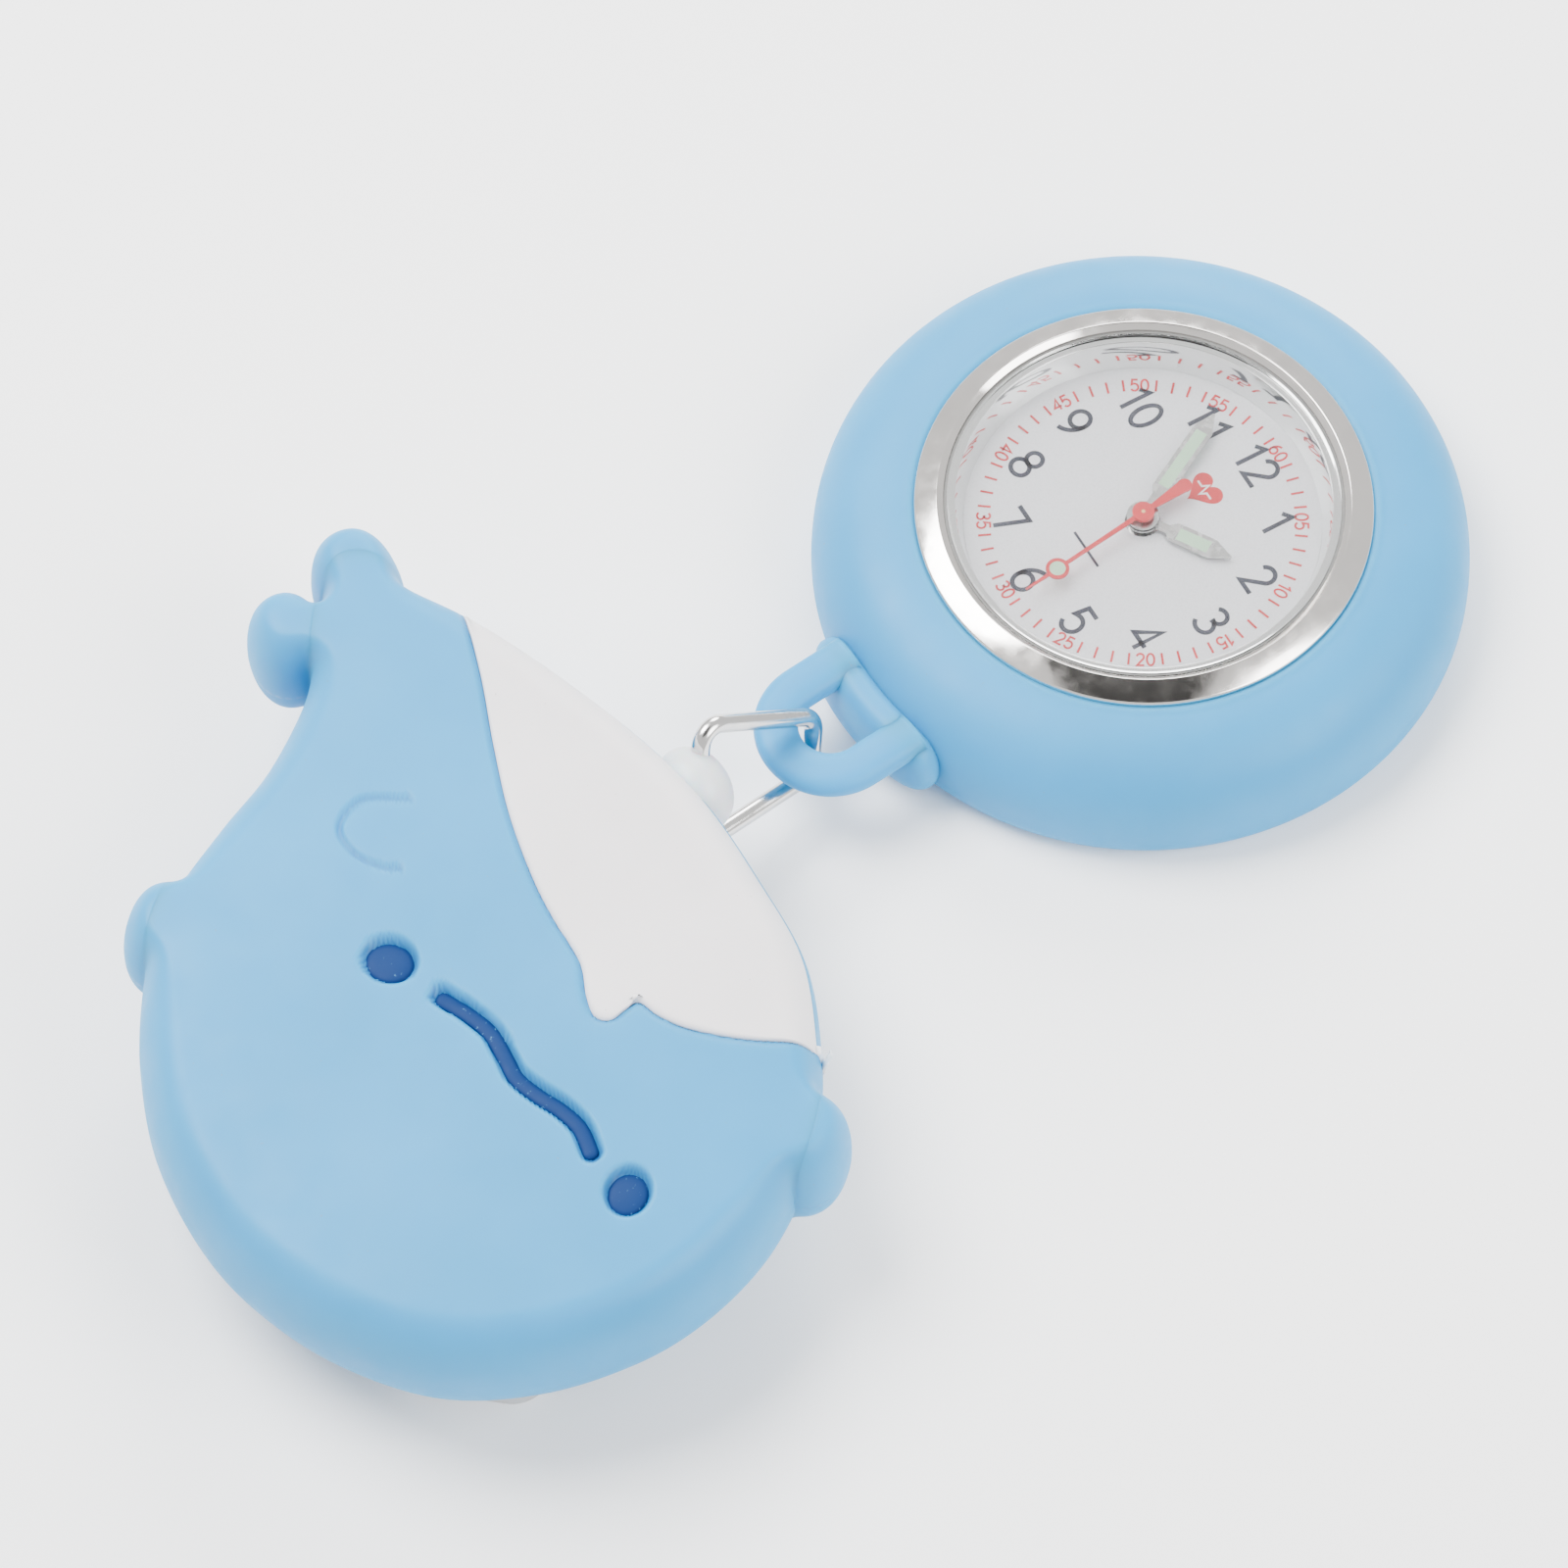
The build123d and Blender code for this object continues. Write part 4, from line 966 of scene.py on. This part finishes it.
def build_link():
    """Closed wire trapezium, its path four lines with round corners."""
    flat = rounded([(0, LINK_BASE), (0, -LINK_BASE), (LINK_LENGTH, -LINK_END), (LINK_LENGTH, LINK_END)],
                   [1.15, 1.15, 1.2, 1.2], 14)
    flat = resample(flat, 360)
    along = np.array([math.cos(LINK_FALL), 0, -math.sin(LINK_FALL)])
    up = np.array([math.sin(LINK_FALL) * math.cos(LINK_LEAN), math.sin(LINK_LEAN),
                   math.cos(LINK_FALL) * math.cos(LINK_LEAN)])
    path = BEAD + flat[:, :1] * along + flat[:, 1:] * up
    v, f = tube(path, circle_section(WIRE_R, count=28), np.cross(up, along), closed=True)
    nickel = plated_wire("nickel_wire", tuple(colours().metal))
    obj = piece("link_wire", v, f, nickel, "link", ("wire_link",), "nickel_wire")
    outward(obj)


# --------------------------------------------------------------- watch ----
def to_module(points):
    """Module plan, 12 o'clock along x, to the row frame."""
    p = np.asarray(points, float)
    co, si = math.cos(MODULE_TURN), math.sin(MODULE_TURN)
    out = p.copy()
    out[..., 0] = WATCH_X + co * p[..., 0] - si * p[..., 1]
    out[..., 1] = WATCH_Y + si * p[..., 0] + co * p[..., 1]
    return out


def build_watch_cover():
    """The silicone ring round the watch, the ridge across it and the loop."""
    c = colours()
    skin = bpy.data.materials.get("blue_silicone") or silicone("blue_silicone", tuple(c.silicone))
    outer_r, lip_r, waist_z = 20.2, 14.55, 2.0
    a = np.linspace(0, 1, 40)
    # dome from the lip at the bezel to the rim, a quarter of a squarish oval
    dome = np.stack([lip_r + (outer_r - lip_r) * np.sin(a * np.pi / 2) ** 0.92,
                     waist_z + 6.1 * np.cos(a * np.pi / 2) ** 0.78], -1)
    b = np.linspace(0, 1, 14)[1:]
    foot = np.stack([18.7 + 1.5 * np.cos(b * np.pi / 2), waist_z - waist_z * np.sin(b * np.pi / 2)], -1)
    back = rounded([(18.7, 0), (11.4, 0), (11.4, 0.6), (13.98, 0.6), (13.98, 8.0), (14.3, 8.16)],
                   [0, 0.25, 0.1, 0.1, 0.12, 0.2], 5, closed=False)[1:]
    profile = np.vstack([dome, foot, back])
    ring = lathe(profile[::-1], (WATCH_X, WATCH_Y), 288, closed=True)
    # ridge: a round-ended bar across the loop side
    n, half = 120, 5.7
    y = np.linspace(-half, half, n)
    swell = np.clip(1 - np.abs(y / half) ** 5, 0.0, 1) ** 0.5
    bow = WATCH_X - np.sqrt(20.6 ** 2 - y ** 2)
    path = np.stack([bow, WATCH_Y + y, np.full(n, 3.3)], -1)
    ridge = tube(path, circle_section(1.35, 2.6, 36, 0.8), (0, 0, 1), scale=np.maximum(swell, 0.02))
    # loop: a half ring of squarish oval section whose two legs grow out of the ridge
    lx, lr, lz = LOOP_X, 3.28, LOOP_Z
    t = np.linspace(np.pi / 2, 3 * np.pi / 2, 80)
    arc = np.stack([lx + lr * np.cos(t), WATCH_Y + lr * np.sin(t), np.full(80, lz)], -1)
    leg = np.linspace(3.8, 0.15, 14)[:, None]
    first = np.array([lx, WATCH_Y + lr, lz]) + leg * np.array([1, 0, 0])
    second = (np.array([lx, WATCH_Y - lr, lz]) + leg * np.array([1, 0, 0]))[::-1]
    route = np.vstack([first, arc, second])
    loop = tube(route, circle_section(1.36, 0.88, 40, 0.8), (0, 0, 1))
    obj = piece("watch_cover_skin", *join(ring, ridge, loop), skin, "watch", ("watch_cover",),
                "silicone_blue")
    outward(obj)


def build_case():
    """Bezel, reflector ring, glass, gaskets and case back."""
    top, outer, opening = CASE_HI[2], (CASE_HI - CASE_LO)[0] / 2, 12.2
    centre = (WATCH_X, WATCH_Y)
    steel = polished_metal("bezel_steel", (0.74, 0.71, 0.68), centre)
    prof = rounded([(12.9, 0.6), (13.6, 0.6), (outer, 1.0), (outer, top - 0.62), (opening + 0.4, top),
                    (opening, top - 0.3), (opening, 5.6), (12.9, 5.6)],
                   [0.1, 0.1, 0.2, 0.22, 0.09, 0.05, 0.1, 0.1], 6)
    v, f = lathe(prof, centre, 320, closed=True)
    obj = piece("bezel", v, f, steel, "watch", ("watch_case",), "case_steel")
    outward(obj)
    polished = Finish("polished_ring", (0.86, 0.87, 0.86), 0.07, 1.0)
    polished.roughness(polished.rings(centre, 5000.0), 0.03, 0.10)
    polished.bump(polished.rings(centre, 7000.0), 0.0005, 0.3)
    dial_z = DIAL_HI[2]
    seat = top - 0.72
    prof = rounded([(10.9, dial_z), (10.9 + 0.27 * (seat - dial_z), seat), (12.18, seat),
                    (12.18, dial_z)], 0.04, 3)
    v, f = lathe(prof, centre, 320, closed=True)
    obj = piece("inner_ring", v, f, polished.mat, "watch", ("reflector_ring",), "polished_ring")
    outward(obj)
    r, z0, z1 = 12.0, seat + 0.01, top - 0.3
    prof = np.array([(0, z0), (r * 0.5, z0), (r - 0.3, z0), (r - 0.12, z0), (r - 0.08, z0),
                     (r - 0.02, z0 + 0.03), (r, z0 + 0.08), (r, z1 - 0.1), (r - 0.03, z1 - 0.03),
                     (r - 0.1, z1), (r - 0.14, z1), (r - 0.3, z1), (r * 0.5, z1), (0, z1)])
    v, f = lathe(prof, centre, 256)
    obj = piece("crystal_glass", v, f, glass("clear_glass"), "watch", ("crystal",), "crystal_glass")
    outward(obj)
    rubber = moulded("grey_rubber", (0.16, 0.16, 0.155), 0.5, 0.7)
    repaint(("crystal_gasket", "case_back_gasket"), rubber)
    repaint(("case_back", "crown_tube"), steel)


# ---------------------------------------------------------------- dial ----
def arc(cx, cy, rx, ry, a0, a1, n=22):
    """Points along part of an ellipse, angles in degrees."""
    t = np.radians(np.linspace(a0, a1, n))
    return np.stack([cx + rx * np.cos(t), cy + ry * np.sin(t)], -1)


# strokes of the numbers in a box one high
DIGITS = {
    "0": [arc(.28, .5, .28, .5, 90, 450, 44)],
    "1": [np.array([(.08, .80), (.33, 1.0), (.33, 0.0)])],
    "2": [np.vstack([arc(.28, .72, .27, .28, 165, -32), [(.02, 0.0)], [(.57, 0.0)]])],
    "3": [np.vstack([arc(.27, .76, .25, .24, 150, -80), arc(.26, .27, .30, .27, 80, -150)])],
    "4": [np.array([(.43, 0.0), (.43, 1.0), (.0, .30), (.60, .30)])],
    "5": [np.vstack([[(.52, 1.0)], [(.10, 1.0)], [(.05, .56)], arc(.27, .32, .29, .32, 115, -150)])],
    "6": [np.vstack([arc(.62, .36, .61, .66, 108, 178), arc(.29, .31, .28, .31, 180, 540, 40)])],
    "7": [np.array([(.0, 1.0), (.57, 1.0), (.19, 0.0)])],
    "8": [arc(.29, .76, .235, .24, 90, 450, 36), arc(.29, .27, .29, .27, 90, 450, 40)],
    "9": [np.vstack([arc(-.04, .64, .61, .66, -72, -2), arc(.29, .69, .28, .31, 0, 360, 40)])],
}


def ribbon(line, width):
    """Flat band of one width along a line, mitred at its corners."""
    a = np.diff(line, axis=0, prepend=2 * line[:1] - line[1:2])
    b = np.diff(line, axis=0, append=2 * line[-1:] - line[-2:-1])
    a /= np.linalg.norm(a, axis=1)[:, None] + 1e-12
    b /= np.linalg.norm(b, axis=1)[:, None] + 1e-12
    na, nb = np.stack([-a[:, 1], a[:, 0]], -1), np.stack([-b[:, 1], b[:, 0]], -1)
    m = na + nb
    m /= np.linalg.norm(m, axis=1)[:, None] + 1e-12
    stretch = np.clip(1 / np.clip((m * na).sum(1), 0.35, 1), 1, 2.2)
    off = m * (width / 2 * stretch)[:, None]
    return np.concatenate([line + off, line - off]), quads(2, len(line))


def digits(text, height, stroke, gap=0.24):
    """Strokes of a number centred on the origin: ribbons in a plane, x right and y up."""
    blocks, x = [], 0.0
    widths = {"1": 0.42}
    for ch in text:
        for line in DIGITS[ch]:
            v, f = ribbon((line + (x, 0)) * height, stroke)
            blocks.append((v, [f]))
        x += widths.get(ch, 0.58) + gap
    v, f = join(*blocks)
    return v - np.array([(x - gap) / 2 * height, height / 2]), f


def round_dial(radius, angle):
    """A place on the dial by its distance from the middle and its angle."""
    return radius * math.cos(angle), radius * math.sin(angle)


def on_dial(v, at, up, z):
    """Place flat print on the dial: at is its middle, up the angle its top points to."""
    co, si = math.cos(up), math.sin(up)
    x = at[0] + v[:, 1] * co + v[:, 0] * si
    y = at[1] + v[:, 1] * si - v[:, 0] * co
    return to_module(np.stack([x, y, np.full(len(v), z)], -1))


def printed(name, blocks, material, slot, body="watch"):
    """Flat print facing up, given the thickness of an ink film."""
    v, f = join(*blocks)
    obj = piece(name, v, f, material, body, (), slot, smooth=False)
    bm = bmesh.new()
    bm.from_mesh(obj.data)
    down = [g for g in bm.faces if g.normal.z < 0]
    bmesh.ops.reverse_faces(bm, faces=down)
    bm.to_mesh(obj.data)
    bm.free()
    film = obj.modifiers.new("film", "SOLIDIFY")
    film.thickness, film.offset = 0.02 * MM, 1
    return obj


def build_dial():
    """Lacquer, hour numerals, minute track, emblem and rule."""
    c, s = colours(), sizes()
    z = DIAL_HI[2] + 0.005
    repaint(("dial",), pearl("dial_lacquer", tuple(c.dial)))
    ink = lacquer("numeral_ink", tuple(c.numerals))
    red = lacquer("red_ink", tuple(c.red))
    white = lacquer("white_ink", (0.9, 0.9, 0.9))
    blocks = []
    for hour in range(1, 13):
        v, f = digits(str(hour), s.numeral_height, s.numeral_stroke)
        a = -math.radians(30 * hour)
        blocks.append((on_dial(v, round_dial(s.numeral_radius, a), 0.0, z), f))
    printed("hour_numerals", blocks, ink, "dial_white")
    blocks = []
    for minute in range(60):
        a = -math.radians(6 * minute)
        if minute % 5:
            v, f = ribbon(np.array([(0, -0.4), (0, 0.4)]), 0.14)
            blocks.append((on_dial(v, round_dial(s.track_radius, a), a, z), [f]))
        else:
            v, f = digits("%02d" % (minute or 60), 0.8, 0.13, 0.2)
            up = a + math.pi if 17 < minute < 43 else a
            blocks.append((on_dial(v, round_dial(s.track_radius, a), up, z), f))
    printed("minute_track", blocks, red, "second_red")
    # emblem: a red heart with a pulse line
    t = np.linspace(0, 2 * np.pi, 97)[:-1]
    heart = np.stack([16 * np.sin(t) ** 3, 13 * np.cos(t) - 5 * np.cos(2 * t) - 2 * np.cos(3 * t)
                      - np.cos(4 * t)], -1) / 13.5
    shape = np.vstack([[(0, 0)], heart])
    k = np.arange(1, 97)
    fan = np.stack([np.zeros(96, int), k, k % 96 + 1], -1)
    emblem = (4.4, 0.0)
    printed("emblem", [(on_dial(shape, emblem, 0.0, z), [fan])], red, "second_red")
    pulse = np.array([(-0.75, 0), (-0.3, 0), (-0.12, 0.4), (0.1, -0.4), (0.28, 0.0), (0.75, 0)])
    v, f = ribbon(pulse, 0.13)
    printed("emblem_line", [(on_dial(v, emblem, 0.0, z + 0.03), [f])], white, "dial_white")
    v, f = ribbon(np.array([(-1.4, 0), (1.4, 0)]), 0.16)
    printed("dial_rule", [(on_dial(v, (-4.0, 0.0), 0.0, z), [f])], ink, "dial_white")


def build_hands():
    """Finishes of the hands, their luminous fills and arbors."""
    c = colours()
    silver = Finish("hand_silver", (0.62, 0.62, 0.61), 0.22, 1.0)
    silver.roughness(silver.noise(1800.0, 3.0), 0.16, 0.34)
    silver.bump(silver.noise(5200.0, 3.0), 0.001, 0.4)
    repaint(("hour_hand", "minute_hand", "hour_wheel", "centre_wheel"), silver.mat)
    lume = moulded("luminous_paint", tuple(c.lume), 0.6, 0.8, 0.006)
    repaint(("hour_lume", "minute_lume", "second_lume"), lume)
    repaint(("second_hand",), bpy.data.materials.get("red_ink") or lacquer("red_ink", tuple(c.red)))


def build_movement():
    """Finishes of the wheels, plates, motor and battery."""
    c = colours()
    brass = turned_metal("wheel_brass", (0.78, 0.58, 0.28), (WATCH_X, WATCH_Y))
    repaint(("second_wheel", "third_wheel", "fifth_wheel", "minute_wheel", "main_plate",
             "train_bridge"), brass)
    steel = turned_metal("small_steel", tuple(c.metal), (WATCH_X, WATCH_Y))
    repaint(("rotor", "stator", "battery", "battery_strap", "quartz_can", "bridge_screws", "stem_collar",
             "crown_stem", "crown"), steel)
    repaint(("movement_holder",), moulded("black_plastic", (0.03, 0.03, 0.035)))
    repaint(("coil",), plated_wire("copper_wire", (0.75, 0.35, 0.18)))
    repaint(("circuit_board",), moulded("board_green", (0.03, 0.2, 0.1)))


# --------------------------------------------------------------- stage ----
def build_stage():
    """Floor, overhead card, light and camera."""
    c, s = colours(), sizes()
    scene = bpy.context.scene
    # floor: one wide flat sheet, a hair under the part
    n = 60
    u = np.linspace(-1, 1, n)
    gx, gy = np.meshgrid(u * 1500, u * 1500, indexing="ij")
    verts = np.stack([gx.ravel(), gy.ravel(), np.full(n * n, -0.03)], -1)
    f = Finish("studio_floor", tuple(c.floor), 0.7)
    f.roughness(f.noise(8.0), 0.65, 0.75)
    floor = piece("studio_floor", verts, [quads(n, n)], f.mat, None)
    turn, tilt = s.camera_turn, s.camera_tilt
    right = np.array([math.cos(turn), -math.sin(turn), 0])
    away = np.array([math.sin(turn), math.cos(turn), 0])
    # card: a black sheet overhead, the dark thing that bright metal shows
    black = moulded("card_black", (0.012, 0.012, 0.012))
    corner = np.array([(-210, -420), (210, -420), (210, 90), (-210, 90)], float)
    at = corner[:, :1] * right + corner[:, 1:] * away + (40, 10, 640)
    card = piece("overhead_card", at, [np.array([[0, 1, 2, 3]])], black, None)
    world = bpy.data.worlds.new("studio")
    scene.world = world
    world.use_nodes = True
    world.node_tree.nodes["Background"].inputs[0].default_value = (1.0, 1.0, 1.0, 1.0)
    world.node_tree.nodes["Background"].inputs[1].default_value = 1.2
    middle = np.array([26.7, 9.8, 0.0])
    place = middle + s.camera_distance * (-math.cos(tilt) * away + np.array([0, 0, math.sin(tilt)]))
    cam = bpy.data.cameras.new("camera")
    cam.lens, cam.sensor_width, cam.clip_start, cam.clip_end = s.camera_lens, 36.0, 0.01, 20.0
    eye = bpy.data.objects.new("camera", cam)
    scene.collection.objects.link(eye)
    eye.location = place * MM
    eye.rotation_euler = (math.pi / 2 - tilt, 0, -turn)
    scene.camera = eye
    lamps = (("key", -220, 120, 420, 320, 5.5), ("fill", 320, -160, 300, 300, 2.6),
             ("back", 60, 420, 260, 260, 2.4))
    for name, side, back, up, size, power in lamps:
        light = bpy.data.lights.new(name, "AREA")
        light.shape, light.size, light.energy = "DISK", size * MM, power
        lamp = bpy.data.objects.new(name, light)
        scene.collection.objects.link(lamp)
        at = middle + side * right + back * away + np.array([0, 0, up])
        lamp.location = at * MM
        lamp.rotation_euler = Vector((middle - at).tolist()).to_track_quat("-Z", "Y").to_euler()


# ----------------------------------------------------------- operators ----
class FOB_OT_whale(bpy.types.Operator):
    """Build the whale skin, its belly patch, eyes and mouth"""
    bl_idname = "fob.whale"
    bl_label = "Whale cover"

    def execute(self, context):
        build_whale()
        return {"FINISHED"}


class FOB_OT_reel(bpy.types.Operator):
    """Finish the reel and build the stopper and the cord"""
    bl_idname = "fob.reel"
    bl_label = "Reel and cord"

    def execute(self, context):
        build_reel()
        return {"FINISHED"}


class FOB_OT_clip(bpy.types.Operator):
    """Finish the clip"""
    bl_idname = "fob.clip"
    bl_label = "Swivel clip"

    def execute(self, context):
        build_clip()
        return {"FINISHED"}


class FOB_OT_link(bpy.types.Operator):
    """Build the wire link"""
    bl_idname = "fob.link"
    bl_label = "Wire link"

    def execute(self, context):
        build_link()
        return {"FINISHED"}


class FOB_OT_watch_cover(bpy.types.Operator):
    """Build the silicone watch cover with its loop"""
    bl_idname = "fob.watch_cover"
    bl_label = "Watch cover"

    def execute(self, context):
        build_watch_cover()
        return {"FINISHED"}


class FOB_OT_case(bpy.types.Operator):
    """Build the bezel, inner ring and glass"""
    bl_idname = "fob.case"
    bl_label = "Case and glass"

    def execute(self, context):
        build_case()
        return {"FINISHED"}


class FOB_OT_dial(bpy.types.Operator):
    """Finish the dial and build its print"""
    bl_idname = "fob.dial"
    bl_label = "Dial"

    def execute(self, context):
        build_dial()
        return {"FINISHED"}


class FOB_OT_hands(bpy.types.Operator):
    """Finish the hands"""
    bl_idname = "fob.hands"
    bl_label = "Hands"

    def execute(self, context):
        build_hands()
        return {"FINISHED"}


class FOB_OT_movement(bpy.types.Operator):
    """Finish the movement, crown and stem"""
    bl_idname = "fob.movement"
    bl_label = "Movement"

    def execute(self, context):
        build_movement()
        return {"FINISHED"}


class FOB_OT_stage(bpy.types.Operator):
    """Build the floor, lights and camera"""
    bl_idname = "fob.stage"
    bl_label = "Stage"

    def execute(self, context):
        build_stage()
        return {"FINISHED"}


OPERATORS = (FOB_OT_whale, FOB_OT_reel, FOB_OT_clip, FOB_OT_link,
             FOB_OT_watch_cover, FOB_OT_case, FOB_OT_dial, FOB_OT_hands,
             FOB_OT_movement, FOB_OT_stage)


class FOB_PT_panel(bpy.types.Panel):
    """The steps, in the order they run."""
    bl_idname = "FOB_PT_panel"
    bl_label = "Fob watch"
    bl_space_type = "VIEW_3D"
    bl_region_type = "UI"
    bl_category = "Fob watch"

    def draw(self, context):
        """One button for each step."""
        for cls in OPERATORS:
            self.layout.operator(cls.bl_idname)


CLASSES = [FobColours, FobSizes, *OPERATORS, FOB_PT_panel]


def register():
    """Add the settings, operators and panel."""
    for cls in CLASSES:
        bpy.utils.register_class(cls)
    bpy.types.Scene.fob_colours = PointerProperty(type=FobColours)
    bpy.types.Scene.fob_sizes = PointerProperty(type=FobSizes)


def unregister():
    """Take them away again."""
    del bpy.types.Scene.fob_colours, bpy.types.Scene.fob_sizes
    for cls in reversed(CLASSES):
        bpy.utils.unregister_class(cls)


def main():
    """Build everything in order."""
    register()
    for cls in OPERATORS:
        getattr(bpy.ops.fob, cls.bl_idname.split(".")[1])()


if __name__ == "__main__":
    main()
